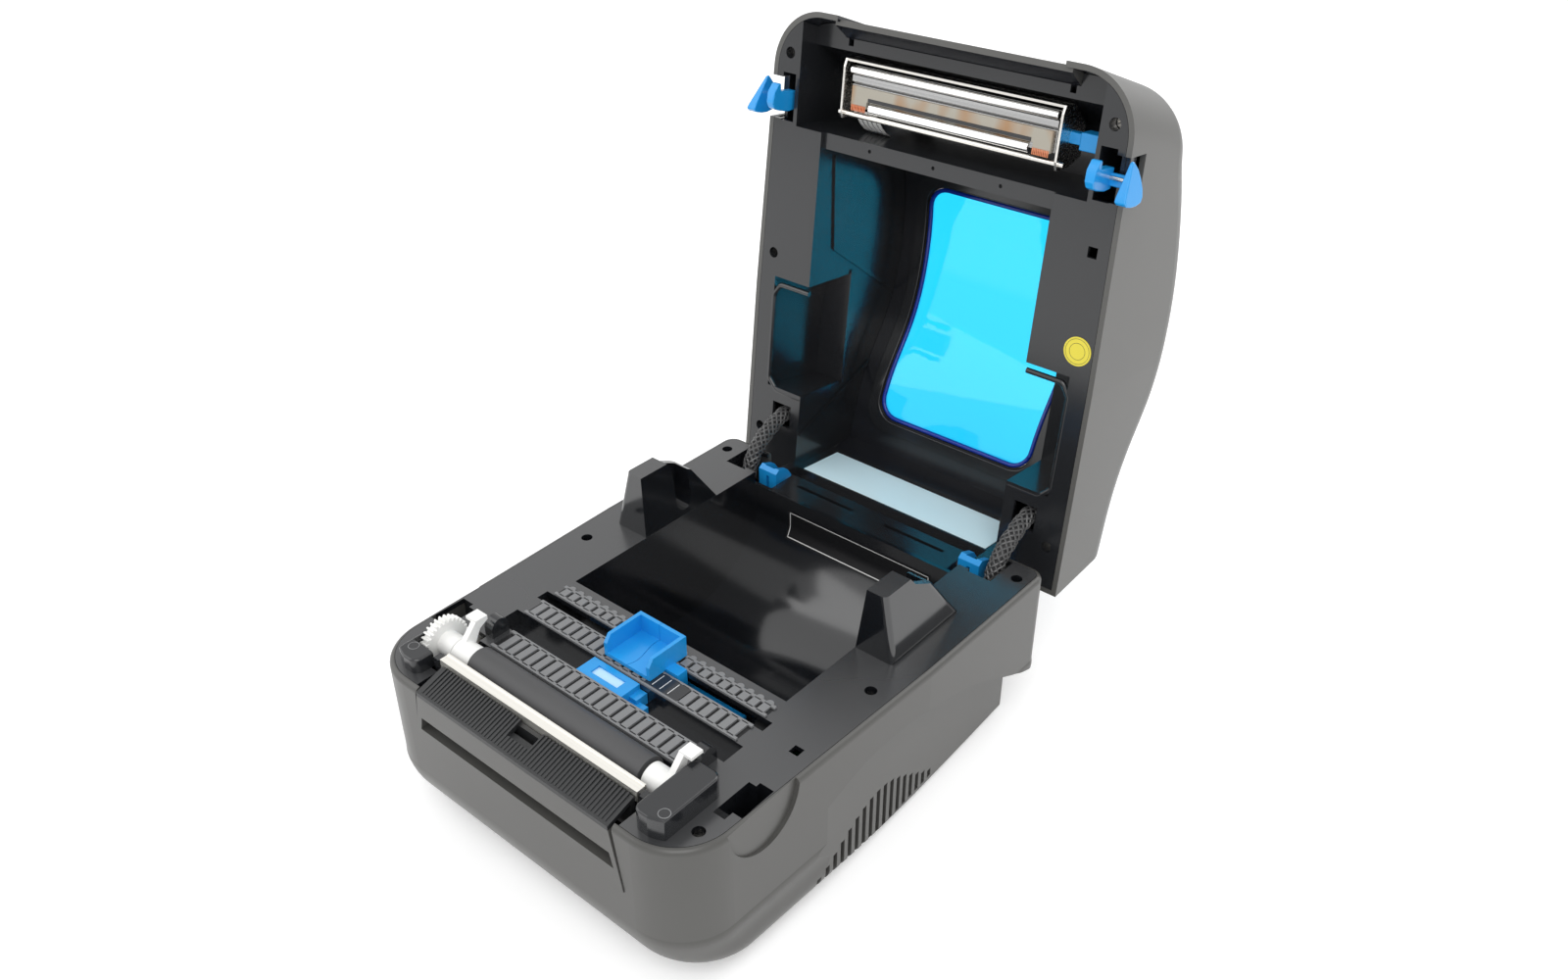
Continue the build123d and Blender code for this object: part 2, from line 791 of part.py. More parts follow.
def gear_plate():
    left = gear_left_x + gear_width + 1.0
    side = polygon(
        (plate_foot_y, shelf_low_z),
        (pinion_y + 26, shelf_low_z),
        (pinion_y + 26, pinion_z + 18),
        (idler_y + 12, idler_z + 14),
        (platen_y - 12, idler_z + 4),
        (platen_y - 12, 32),
    )
    plate = across(side, left, left + gear_plate_thick)
    plate += block(left, left + 12, plate_foot_y, pinion_y + 26, shelf_low_z, shelf_low_z + gear_plate_thick)
    plate -= rod(left - 1, left + 3, pinion_y, pinion_z, 5.0)
    pin = rod(gear_left_x - 1.4, left + 0.5, idler_y, idler_z, 2.0)
    head = rod(gear_left_x - 1.4, gear_left_x - 0.4, idler_y, idler_z, 3.2)
    return plate + pin + head


shelf_low_z = foot_height + wall
plate_foot_y = -91.0


def guide_rack(sign):
    """The toothed bar under a media guide. sign is -1 for the left guide and 1 for the right one."""
    line = guide_pinion_y - sign * rack_pitch
    module = rack_teeth_module
    pitch = math.pi * module
    start, end = -24.0, 54.0
    count = int((end - start) / pitch) - 1
    lean = math.tan(math.radians(20))
    out = 0.9 * module
    inward = 1.15 * module
    half = pitch / 4 - 0.07
    points = []
    first = -math.floor(-start / pitch) * pitch + pitch
    phase = 0.5 if sign > 0 else 0.0
    for i in range(count):
        middle = first + (i + phase) * pitch
        points += [
            (middle - half - inward * lean, -inward),
            (middle - half + out * lean, out),
            (middle + half - out * lean, out),
            (middle + half + inward * lean, -inward),
        ]
    points = [(start, -rack_back)] + [(start, -inward)] + points + [(end, -inward), (end, -rack_back)]
    face = polygon(*points)
    bar = extrude(face, rack_height)
    if sign > 0:
        bar = mirrored(bar)
        return Pos(0, line, rack_z) * bar
    return Pos(0, line, rack_z) * mirror(bar, Plane.XZ)


def guide_pinion():
    wheel = gear(guide_pinion_teeth, rack_teeth_module, rack_height, 2.0 + running_gap)
    return Pos(0, guide_pinion_y, rack_z) * (Rot(0, 0, 90 + 180 / guide_pinion_teeth) * wheel)


def media_guide(sign):
    """One half of the centring guide: a floor, a side wall and half of the rear wall."""
    floor_top = guide_floor_z + guide_wall
    edge = guide_half * sign
    seam = 0.15 * sign
    curve = [
        (seam, guide_front), (seam + 1.2, guide_front + 8), (seam - 1.2, guide_rear - 6), (seam, guide_rear),
    ]
    outline = make_face([
        Spline(*curve),
        Polyline(curve[-1], (edge, guide_rear), (edge, guide_front), curve[0]),
    ])
    floor = up(outline, guide_floor_z, floor_top)
    side = polygon(
        (guide_front, guide_floor_z),
        (guide_front, guide_top - 4),
        (guide_front + 3, guide_top),
        (guide_rear, guide_top),
        (guide_rear, guide_floor_z + 4),
        (guide_rear - 3, guide_floor_z),
    )
    if sign > 0:
        wall_piece = across(side, edge - guide_wall, edge)
    else:
        wall_piece = across(side, edge, edge + guide_wall)
    back = up(outline, guide_floor_z, guide_top)
    back &= block(-20, 20, guide_rear - guide_wall, guide_rear + 1, guide_floor_z, guide_top)
    body = floor + wall_piece + back
    foot_y0, foot_y1 = guide_front_y + 0.4, guide_rear_y - 0.4
    foot_in, foot_out = guide_half - 6, guide_half + 8
    leg = block(foot_in * sign, foot_out * sign, foot_y0, foot_y1, rack_z + rack_height + 0.4, guide_floor_z)
    leg += block(guide_half * sign, foot_out * sign, foot_y0, foot_y1, deck_height - 1, guide_floor_z + 1)
    side_y = guide_pinion_y - sign * rack_pitch
    out_y = side_y - sign * rack_back
    y0, y1 = min(out_y, foot_y0), max(out_y, foot_y1)
    over_rack = rack_z + rack_height + 0.4
    bridge = block(foot_in * sign, foot_out * sign, y0, y1, over_rack, over_rack + 2.2)
    rack = guide_rack(sign)
    web_y0, web_y1 = sorted((out_y, side_y - sign * 1.2))
    web = block(foot_in * sign, foot_out * sign, web_y0, web_y1, rack_z + 1, rack_z + rack_height + 2.6)
    return body + leg + bridge + rack + web


def gap_slider():
    floor = deck_height - channel_depth + 0.2
    top = deck_height + slider_rise
    y0, y1 = sensor_front_y + fit_gap, sensor_rear_y - fit_gap
    body = block(slider_left_x, slider_right_x, y0, y1, floor, top)
    body += block(slider_right_x - 1, slider_foot_x, y0, y1 - 4.6, floor, top - 5.4)
    body += block(slider_right_x - 1, slider_foot_x - 5, y0 + 5, y1, floor, top - 3)
    body -= block(slider_left_x + 6.4, slider_right_x - 6.0, y0 + 3.2, y1 - 3.0, top - 1.6, top + 1)
    return body


def sensor_lens():
    y0, y1 = sensor_front_y + fit_gap, sensor_rear_y - fit_gap
    top = deck_height + slider_rise
    return block(slider_left_x + 6.4, slider_right_x - 6.0, y0 + 3.2, y1 - 3.0, top - 1.6, top - 1.0)


def rear_bar():
    """The sunk cross bar behind the trough, with its two long slots."""
    bar = block(-61, 61, well_rear_y + liner_wall, base_length / 2 - 0.6, shelf_z, bar_top_z)
    bar -= block(-59, 59, well_rear_y + liner_wall + 2, base_length / 2 - 2.6, shelf_z - 1, bar_top_z - 2)
    for x0, x1 in ((-51, -11), (11, 51)):
        bar -= block(x0, x1, 123.2, 125.6, bar_top_z - 3, bar_top_z + 1)
    return bar


def hinge_clevis():
    """Blue fork that holds a hinge pin, on the right."""
    x0, x1 = lug_inner_x - fit_gap - clevis_cheek, lug_inner_x + lug_width + fit_gap + clevis_cheek
    side = polygon(
        (clevis_front_y, shelf_z),
        (clevis_front_y, clevis_top_z - 2),
        (clevis_front_y + 3, clevis_top_z),
        (hinge_y + 1, clevis_top_z - 3),
        (clevis_rear_y, hinge_z + 5),
        (clevis_rear_y, shelf_z),
    )
    body = across(side, x0, x1)
    gap0, gap1 = lug_inner_x - fit_gap, lug_inner_x + lug_width + fit_gap
    body -= block(gap0, gap1, clevis_front_y + 2.6, clevis_rear_y + 1, shelf_z - 1, clevis_top_z + 1)
    middle = (gap0 + gap1) / 2
    y0, y1 = clevis_front_y - 1, clevis_front_y + 4
    body -= block(middle - 1, middle + 1, y0, y1, shelf_z + 5, clevis_top_z - 5)
    body -= rod(x0 - 1, x1 + 1, hinge_y, hinge_z, hinge_pin_radius)
    return body


def hinge_pins():
    x0, x1 = lug_inner_x - fit_gap - clevis_cheek, lug_inner_x + lug_width + fit_gap + clevis_cheek
    return both(rod(x0, x1, hinge_y, hinge_z, hinge_pin_radius))


def screw(x, y, top, depth=8.0):
    head = post(x, y, top - 2.0, top, screw_head)
    head -= block(x - 2, x + 2, y - 0.4, y + 0.4, top - 0.8, top + 1)
    head -= block(x - 0.4, x + 0.4, y - 2, y + 2, top - 0.8, top + 1)
    return head + post(x, y, top - 2.0 - depth, top - 1.9, screw_shank)


def deck_screws():
    group = [screw(x, y, deck_height - screw_depth + 2.0) for x, y in deck_screw_places]
    return Part() + group


def circuit_board():
    board = block(-66, 66, -60, 34, 11, 12.6)
    board += block(-50, -30, -50, -20, 12.6, 16)
    board += block(10, 34, -30, -8, 12.6, 15)
    for x in (-60, 60):
        for y in (-54, 28):
            board += post(x, y, shelf_low_z, 11, 3)
    return board


def port(index, depth):
    x, w, h = rear_ports[index]
    return block(
        x - w / 2 + 0.2, x + w / 2 - 0.2, tuck_rear_y - depth, tuck_rear_y + 0.6,
        port_z - h / 2 + 0.2, port_z + h / 2 - 0.2,
    )


def switch_frame():
    x, w, h = rear_ports[0]
    body = port(0, 14)
    body += block(
        x - w / 2 - 1.5, x + w / 2 + 1.5, tuck_rear_y, tuck_rear_y + 1.2,
        port_z - h / 2 - 1.5, port_z + h / 2 + 1.5,
    )
    body -= block(x - 8.2, x + 8.2, tuck_rear_y - 8, tuck_rear_y + 3, port_z - 5.2, port_z + 5.2)
    return body - rocker_pin(running_gap)


rocker_y = tuck_rear_y - 2.6
rocker_pin_radius = 1.2


def rocker_pin(gap):
    x = rear_ports[0][0]
    return post(x, rocker_y, port_z - 5.7 - gap, port_z + 5.7 + gap, rocker_pin_radius + gap)


def power_rocker():
    """Rocker that tilts about a vertical pin, at rest pressed in on its left side."""
    x = rear_ports[0][0]
    face = make_face([
        Polyline((x - 7.4, rocker_y), (x - 7.4, rocker_y + 2.2)),
        ThreePointArc((x - 7.4, rocker_y + 2.2), (x, rocker_y + 3.4), (x + 7.4, rocker_y + 5.4)),
        Polyline((x + 7.4, rocker_y + 5.4), (x + 7.0, rocker_y), (x, rocker_y - 3.5), (x - 7.4, rocker_y)),
    ])
    return up(face, port_z - 4.9, port_z + 4.9) + rocker_pin(0)


def power_inlet():
    body = port(1, 12)
    x, w, h = rear_ports[1]
    hole = Pos(x, tuck_rear_y - 4, port_z) * Rot(90, 0, 0) * Cylinder(3.6, 12)
    pin = Pos(x, tuck_rear_y - 6, port_z) * Rot(90, 0, 0) * Cylinder(1.0, 9)
    return body - hole + pin


def usb_socket():
    body = port(2, 14)
    x, w, h = rear_ports[2]
    body -= block(x - 4.3, x + 4.3, tuck_rear_y - 9, tuck_rear_y + 2, port_z - 3.9, port_z + 3.9)
    return body + block(x - 2.9, x + 2.9, tuck_rear_y - 10, tuck_rear_y - 1, port_z - 1.6, port_z + 1.6)


def lid_plan(inset):
    half_f, half_w, half_r = lid_half_front - inset, lid_half_waist - inset, lid_half_rear - inset
    front, rear = lid_y(lid_front_s) - 20, lid_y(lid_rear_s) + 20
    return polygon(
        (-half_f, front), (half_f, front), (half_w, lid_waist_y), (half_r, rear), (-half_r, rear),
        (-half_w, lid_waist_y),
    )


def lid_block(inset, facet=True):
    """The closed lid's outer form, drawn in by inset, with its sunk front facet."""
    crown = [(lid_y(s), lid_z(d) - inset) for s, d in lid_crown]
    crown[0] = (crown[0][0] - inset, crown[0][1])
    crown[-1] = (crown[-1][0] + inset, crown[-1][1])
    front = (lid_y(lid_front_s) + inset, lid_z(0))
    rear = (lid_y(lid_rear_s) - inset, lid_z(0))
    top = Spline(*crown, tangents=[(-1, 0.12), (-1, -0.22)])
    side = make_face([top, Polyline(crown[-1], front, rear, crown[0])])
    body = across(side, -140, 140) & up(lid_plan(inset), lid_z(0), lid_z(110))
    corners = [e for e in body.edges() if e.center().Y < lid_y(215) and e.bounding_box().size.X < 10
               and e.bounding_box().size.Z > 40]
    body = fillet(corners, plan_corner - inset)
    rim = [e for e in body.edges() if e.bounding_box().min.Z > lid_z(46) and e.center().Y < lid_y(-14)]
    body = fillet(rim, lid_shoulder - inset)
    if facet:
        low = (lid_y(facet_low_s) + inset * 1.1, lid_z(facet_low_d))
        high = (lid_y(facet_high_s) + inset * 1.1, lid_z(facet_high_d))
        steep = (high[0] + 14, high[1] + 14 - inset)
        under, before = lid_z(100), low[0] - 30
        cut = polygon(low, high, steep, (steep[0], under), (before, under), (before, low[1]))
        wedge = across(cut, -facet_half - inset, facet_half + inset)
        body -= wedge
    return body


def window_plan(grow):
    front, rear = lid_y(window_top_s) - grow, lid_y(window_low_s) + grow
    half = window_half + grow
    return up(rounded(-half, half, front, rear, window_corner + grow), lid_z(30), lid_z(110))


def lid_shell():
    outer = lid_block(0)
    shell = outer - lid_block(lid_wall) - block(-200, 200, -200, 200, lid_z(-5), lid_z(0))
    shell -= window_plan(window_gap)
    notch = block(100, 115, lid_y(204), lid_y(182), lid_z(-1), lid_z(15))
    shell -= both(notch)
    shell -= front_notch()
    shell -= button_hole(0.25)
    for x in light_places:
        shell -= on_facet(x, light_s, -6, 3, 1.9)
    return shell


facet_turn = math.degrees(math.atan2(facet_high_d - facet_low_d, facet_low_s - facet_high_s))
button_s = 202.4
light_s = 202.4
light_places = (-18.0, 18.0)
button_radius = 6.5
button_travel = 1.2


def facet_d(s):
    """Depth of the front facet at a place s."""
    share = (facet_low_s - s) / (facet_low_s - facet_high_s)
    return facet_low_d + share * (facet_high_d - facet_low_d)


def on_facet(x, s, inner, outer, radius):
    """A round bar square to the front facet, between two heights above it."""
    bar = Pos(0, 0, (inner + outer) / 2) * Cylinder(radius, outer - inner)
    return Pos(x, lid_y(s), lid_z(facet_d(s))) * Rot(facet_turn, 0, 0) * bar


def button_hole(grow):
    return on_facet(0, button_s, -6, 4, button_radius + grow)


def feed_button():
    cap = on_facet(0, button_s, -4.4, 1.4, button_radius)
    cap = fillet(cap.edges().sort_by(Axis.Y)[0], 0.8)
    return cap + on_facet(0, button_s, -6.2, -4.3, button_radius + 1.4)


def light_pipes():
    return Part() + [on_facet(x, light_s, -5, 0.2, 1.8) for x in light_places]


def window():
    sheet = lid_block(0, False) - lid_block(window_thick, False)
    return sheet & window_plan(0)


def front_notch():
    """What the lid's front edge is cut back by, so that a label can leave over the ramp."""
    y0, y1 = lid_y(lid_front_s + 5), lid_y(front_lip_s - 1)
    return block(-facet_half, facet_half, y0, y1, lid_z(-2), lid_z(2.4))


def ring(x0, x1, y0, y1, thick):
    """Walls round a rectangle, as a flat face to be carried up."""
    outer = rounded(x0 - thick, x1 + thick, y0 - thick, y1 + thick, 3)
    return outer - rounded(x0, x1, y0, y1, 1.5)


def head_bay(grow):
    """The recess for the print head, with the shallow step in front of it that clears the label ramp."""
    rear, top = lid_y(head_bay_rear_s) + grow, head_bay_depth + grow
    side = polygon(
        (lid_y(front_step_s) - grow, lid_z(-2)), (lid_y(front_step_s) - grow, lid_z(12)),
        (lid_y(220.5) - 1.2 * grow, lid_z(20)), (lid_y(205.5) - 0.5 * grow, lid_z(top)),
        (rear, lid_z(top)), (rear, lid_z(-2)),
    )
    bay = across(side, -head_bay_half - grow, head_bay_half + grow)
    back, low = lid_y(front_step_s - 1), lid_z(front_step_depth + grow)
    middle = polygon(
        (back, lid_z(-2)), (back, low), (lid_y(228.6) - 1.2 * grow, low),
        (lid_y(front_lip_s) - 1.2 * grow, lid_z(2)), (lid_y(front_lip_s) - 1.2 * grow, lid_z(-2)),
    )
    sides = polygon(
        (back, lid_z(-2)), (back, low), (lid_y(front_side_s - 2.6) - grow, low),
        (lid_y(front_side_s) - grow, lid_z(0)), (lid_y(front_side_s) - grow, lid_z(-2)),
    )
    bay += across(middle, -facet_half - 1, facet_half + 1)
    return bay + both(across(sides, facet_half, head_bay_half + grow))


def hub_pocket(grow):
    """The hollow that takes a spool pedestal when the lid is closed, on the right."""
    y0, y1 = lid_y(hub_front_s) - grow, lid_y(hub_rear_s) + grow
    end = polygon(
        (bay_half - 1, lid_z(-2)),
        (hub_half + grow, lid_z(-2)),
        (hub_half + grow, lid_z(2)),
        (88.5 + grow, lid_z(hub_depth + grow)),
        (bay_half - 1, lid_z(hub_depth + grow)),
    )
    return along(end, y0, y1)


def lid_liner():
    thick = 2.4
    rim = lid_block(lid_wall + seam_gap)
    inside = lid_block(lid_wall + fit_gap)
    sheet = rim & block(-200, 200, -200, 200, lid_z(0), lid_z(thick))
    y0, y1 = lid_y(bay_front_s), lid_y(bay_rear_s)
    walls = up(ring(-bay_half, bay_half, y0, y1, 2.0), lid_z(0), lid_z(100)) & inside
    body = sheet + walls
    body += (head_bay(2.0) & inside & block(-200, 200, -200, 200, lid_z(0), lid_z(60)))
    body += both(hub_pocket(2.0) & inside & block(-200, 200, -200, 200, lid_z(0), lid_z(60)))
    for x, s in lid_screw_places:
        body += post(x, lid_y(s), lid_z(0), lid_z(screw_depth + 8), screw_hole + 2) & inside
    ear = block(99.0, 101.0, lid_y(204) - 2, lid_y(182) + 2, lid_z(0), lid_z(14))
    body += both(ear & inside)
    body -= block(-bay_half, bay_half, y0, y1, lid_z(-2), lid_z(hub_depth))
    bar = (lid_y(head_bay_rear_s) - 1, lid_y(bay_front_s) + 1)
    body += block(-bay_half, bay_half, *bar, lid_z(cross_bar_sink), lid_z(cross_bar_sink + thick))
    body -= block(-bay_half, bay_half, *bar, lid_z(-2), lid_z(cross_bar_sink))
    body -= head_bay(0)
    body -= both(hub_pocket(0))
    body -= front_notch()
    body -= block(-80.4, 80.4, lid_y(lid_front_s + 5), lid_y(233.0), lid_z(-2), lid_z(4.8))
    for x, s in lid_screw_places:
        body -= post(x, lid_y(s), lid_z(-1), lid_z(screw_depth), screw_hole)
        body -= post(x, lid_y(s), lid_z(-1), lid_z(40), screw_shank)
    slot = block(90.4, 99.0, lid_y(206.6), lid_y(181.6), lid_z(-2), lid_z(6))
    slot += block(98.9, 112, lid_y(204), lid_y(182), lid_z(-2), lid_z(5.4))
    body -= both(slot)
    body -= both(block(77, 90.5, lid_y(18), lid_y(4), lid_z(-2), lid_z(6)))
    body -= block(93, 98, lid_y(160), lid_y(154.6), lid_z(-2), lid_z(6))
    body -= both(block(63.7, 66.9, lid_y(229.6), lid_y(224), lid_z(10), lid_z(18)))
    for x in (-40, 0, 40):
        body -= post(x, lid_y(176), lid_z(-1), lid_z(4), 1.0)
    body -= both(latch_pin(latch_pin_radius))
    for route in wall_ribs:
        body += both(wall_rib(route)) & inside
    lug = across(
        polygon(
            (hinge_y - lug_radius, lid_z(2)), (hinge_y - lug_radius, hinge_z),
            (hinge_y + lug_radius, hinge_z), (hinge_y + 2.2, lid_z(0) - 0.4), (hinge_y + 2.2, lid_z(2)),
        ),
        lug_inner_x, lug_inner_x + lug_width,
    )
    lug += rod(lug_inner_x, lug_inner_x + lug_width, hinge_y, hinge_z, lug_radius)
    bore = hinge_pin_radius + running_gap
    lug -= rod(lug_inner_x - 1, lug_inner_x + lug_width + 1, hinge_y, hinge_z, bore)
    return body + both(lug)


wall_ribs = [[(165, 13.6), (113, 19.5), (69, 91)], [(2, 2.5), (44, 90)]]


def wall_rib(route, width=2.0, height=1.2):
    """A low rib along a route of (s, d) on the right wall of the window bay."""
    line = Polyline(*[(lid_y(s), lid_z(d)) for s, d in route])
    face = make_face(offset(line, width / 2, side=Side.BOTH, kind=Kind.INTERSECTION))
    return across(face, bay_half - height, bay_half + 0.5)


def label_plate():
    y1 = lid_y(bay_rear_s)
    return block(-64, 64, y1 - 0.35, y1, lid_z(1), lid_z(33)) & lid_block(lid_wall + 1)


def round_sticker():
    return post(*sticker_place, lid_z(-0.25), lid_z(0), 7.4)


sticker_place = (97.0, lid_y(108.0))


def head_bracket():
    """Folded steel frame that hangs in the head bay."""
    side = polygon(
        (lid_y(bracket_low_s), lid_z(9)), (lid_y(bracket_low_s), lid_z(20)),
        (lid_y(bracket_low_s + 4), lid_z(bracket_back_d)),
        (lid_y(bracket_high_s - 11), lid_z(bracket_back_d)),
        (lid_y(bracket_high_s), lid_z(18)), (lid_y(bracket_high_s), lid_z(9)),
        (lid_y(bracket_high_s - 4), lid_z(7.6)), (lid_y(bracket_low_s + 4), lid_z(7.6)),
    )
    frame = both(across(side, bracket_half - bracket_thick, bracket_half))
    frame += block(
        -bracket_half, bracket_half, lid_y(bracket_high_s - 11), lid_y(bracket_low_s + 4),
        lid_z(bracket_back_d - bracket_thick), lid_z(bracket_back_d),
    )
    frame += block(
        -bracket_half, bracket_half, lid_y(bracket_high_s), lid_y(bracket_high_s) + bracket_thick,
        lid_z(9), lid_z(18),
    )
    for x in (-30, 30):
        frame += post(x, lid_y(head_line_s - 8), lid_z(bracket_back_d), lid_z(head_bay_depth), 3)
    return frame - head_rod()


def head_rod():
    s = bracket_low_s + 2.5
    return rod(-bracket_half - 2.5, bracket_half + 2.5, lid_y(s), lid_z(11), 1.5)


def heat_sink():
    """Finned aluminium bar that carries the heating strip."""
    low, high = head_line_s - 14, head_line_s + 6
    side = polygon(
        (lid_y(low), lid_z(10.6)), (lid_y(low), lid_z(14)), (lid_y(low + 3), lid_z(21)),
        (lid_y(high - 4), lid_z(21)), (lid_y(high), lid_z(17)), (lid_y(high), lid_z(head_face_d + 0.9)),
        (lid_y(head_line_s - 6), lid_z(head_face_d + 0.9)),
    )
    bar = across(side, -head_half, head_half)
    for k in range(3):
        s = low + 5 + k * 4
        bar -= block(-head_half - 1, head_half + 1, lid_y(s) - 0.8, lid_y(s) + 0.8, lid_z(17.5), lid_z(22))
    return bar


head_face_d = platen_z + platen_radius + head_gap - (deck_height + lid_gap)


def heating_strip():
    return block(
        -head_half + 3, head_half - 3, lid_y(head_line_s + 5.6), lid_y(head_line_s - 5.6),
        lid_z(head_face_d), lid_z(head_face_d + 0.9),
    )


def head_contacts():
    pads = []
    for side in (-1, 1):
        for k in range(8):
            x = side * (head_half - 3.5 - k * 1.5)
            pads.append(block(x - 0.4, x + 0.4, lid_y(head_line_s - 6.4), lid_y(head_line_s - 13),
                              lid_z(head_face_d + 0.1), lid_z(head_face_d + 0.75)))
    return Part() + pads


def head_springs():
    """Coil springs that press the head out of its bracket."""
    low, high = lid_z(21.2), lid_z(bracket_back_d - bracket_thick - 0.2)
    turns, radius, wire = 4, 3.0, 0.45
    helix = Helix(pitch=(high - low - 2 * wire) / turns, height=high - low - 2 * wire, radius=radius)
    coil = sweep(Plane(helix @ 0, z_dir=helix % 0) * Circle(wire), path=helix)
    group = [Pos(x, lid_y(head_line_s - 4), low + wire) * coil for x in (-36, 36)]
    return Part() + group


def flat_cable():
    """White ribbon from the head's left end to the liner."""
    x0, x1 = -56, -42
    near, far = lid_y(bracket_low_s - 0.2), lid_y(head_bay_rear_s)
    side = polygon(
        (near, lid_z(13)), (near + 0.6, lid_z(13)), (near + 0.6, lid_z(21)),
        (far, lid_z(28)), (far, lid_z(28.8)), (near, lid_z(21.8)),
    )
    return across(side, x0, x1)


def head_holders():
    """Blue blocks that carry the bracket at both ends."""
    right = block(76, 86, lid_y(207), lid_y(198), lid_z(13), lid_z(22))
    right += block(bracket_half, 77, lid_y(204), lid_y(199), lid_z(21.4), lid_z(25))
    right += block(76, 86, lid_y(204), lid_y(199), lid_z(21.4), lid_z(25))
    right += block(80, 84, lid_y(204), lid_y(199), lid_z(24), lid_z(head_bay_depth))
    return both(right)


def latch_pin(radius):
    return rod(88.8, 101.0, lid_y(latch_pivot_s), lid_z(latch_pivot_d), radius)


def latch_pins():
    return both(latch_pin(latch_pin_radius))


def latch_lever():
    """Blue latch on the right: hook inside, finger wing outside, turning on its pin."""
    py, pz = lid_y(latch_pivot_s), lid_z(latch_pivot_d)
    hook = polygon(
        (py - 5, pz + 4.5), (py + 5, pz + 4.5), (py + 6, pz - 4), (py + 4.5, pz - 12),
        (py - 3, pz - 21.5), (catch_rear_y - 3.6, catch_low_z - 3.2), (catch_rear_y - 3.6, catch_low_z - 0.4),
        (py - 6.2, catch_low_z - 0.4), (py - 6.2, pz - 3),
    )
    body = across(hook, latch_inner_x, latch_inner_x + latch_thick)
    body += rod(latch_inner_x, 98.7, py, pz, 4.4)
    body += block(96.0, 98.7, py - 4.0, py + 5, pz - 7.0, pz + 3)
    bridge = block(96.0, wing_inner_x + 1, py - 4.0, py + 5, pz - 7.0, pz - 4.4)
    wing_side = polygon(
        (py - 9.6, pz - 3), (py - 1, pz + 7), (py + 6, pz + 3), (py + 9, pz - 6),
        (py + 6.5, pz - 22), (py + 1.5, pz - 25.5), (py - 3.5, pz - 22),
    )
    wing = across(wing_side, wing_inner_x, wing_outer_x)
    outer_face = wing.faces().sort_by(Axis.X)[-1]
    wing = fillet(outer_face.edges(), 2.0)
    body += bridge + wing
    body -= rod(80, 99.2, py, pz, latch_pin_radius + running_gap)
    return body


def wire_sleeve():
    """Braided sleeve on the right, from the deck slot up into the lid slot, with the lid open."""
    closed_end = Pos(sleeve_x, lid_y(11), lid_z(8)) * Box(0.1, 0.1, 0.1)
    goal = opened(closed_end).center()
    mouth = opened(Pos(sleeve_x, lid_y(11), lid_z(-10)) * Box(0.1, 0.1, 0.1)).center()
    start = (117.5, shelf_z + fit_gap)
    route = [start, (117.5, shelf_z + 30), (mouth.Y, mouth.Z), (goal.Y, goal.Z)]
    points = [(sleeve_x, y, z) for y, z in route]
    runs = [math.dist(a, b) for a, b in zip(points, points[1:])]
    radii = []
    for k in range(1, 3):
        a, b = Vector(*points[k]) - Vector(*points[k - 1]), Vector(*points[k + 1]) - Vector(*points[k])
        turn = math.radians(a.get_angle(b))
        radii.append(0.45 * min(runs[k - 1], runs[k]) / math.tan(turn / 2))
    print("sleeve radii", [round(r, 1) for r in radii])
    path = FilletPolyline(*points, radius=radii)
    section = Plane(path @ 0, z_dir=path % 0) * Circle(sleeve_radius)
    return sweep(section, path=path)


base_nodes = {
    "lower_shell": lower_shell,
    "bottom_plate": bottom_plate,
    "rubber_feet": rubber_feet,
    "deck": deck,
    "front_panel": front_panel,
    "label_ramp": label_ramp,
    "tear_bar": tear_bar,
    "tear_bar_carrier": tear_bar_carrier,
    "end_cover_left": end_cover_left,
    "end_cover_right": end_cover_right,
    "bed_plate_front": lambda: slotted_plate(platen_bay_rear_y + 0.6, sensor_front_y - 0.2, 62.8),
    "bed_plate_middle": lambda: slotted_plate(sensor_rear_y + 0.2, guide_front_y - 0.2, bay_half - fit_gap),
    "bed_plate_rear": lambda: slotted_plate(guide_rear_y + 0.2, well_front_y - 3.2, bay_half - fit_gap, 2.2),
    "lever_keepers": lever_keepers,
    "platen_seats": platen_seats,
    "rear_bar": rear_bar,
    "hinge_clevis_left": lambda: mirrored(hinge_clevis()),
    "hinge_clevis_right": hinge_clevis,
    "hinge_pins": hinge_pins,
    "deck_screws": deck_screws,
    "circuit_board": circuit_board,
    "stepper_motor": stepper_motor,
    "gear_plate": gear_plate,
    "switch_frame": switch_frame,
    "power_rocker": power_rocker,
    "power_inlet": power_inlet,
    "usb_socket": usb_socket,
    "platen_shaft": platen_shaft,
    "platen_rubber": platen_rubber,
    "platen_gear": platen_gear,
    "idler_gear": idler_gear,
    "motor_pinion": motor_pinion,
    "platen_lever_left": lambda: mirrored(platen_lever()),
    "platen_lever_right": platen_lever,
    "media_guide_left": lambda: media_guide(-1),
    "media_guide_right": lambda: media_guide(1),
    "guide_pinion": guide_pinion,
    "gap_sensor_slider": gap_slider,
    "sensor_lens": sensor_lens,
    "wire_sleeve_left": lambda: mirrored(wire_sleeve()),
    "wire_sleeve_right": wire_sleeve,
}

lid_nodes = {
    "lid_shell": lid_shell,
    "lid_liner": lid_liner,
    "lid_window": window,
    "label_plate": label_plate,
    "round_sticker": round_sticker,
    "lid_screws": lambda: Part() + [
        mirror(screw(x, lid_y(s), -lid_z(screw_depth - 2.0)), Plane.XY) for x, s in lid_screw_places],
    "head_bracket": head_bracket,
    "head_rod": head_rod,
    "heat_sink": heat_sink,
    "heating_strip": heating_strip,
    "head_contacts": head_contacts,
    "head_springs": head_springs,
    "flat_cable": flat_cable,
    "head_holders": head_holders,
    "latch_pins": latch_pins,
    "latch_left": lambda: mirrored(latch_lever()),
    "latch_right": latch_lever,
    "feed_button": feed_button,
    "light_pipes": light_pipes,
}


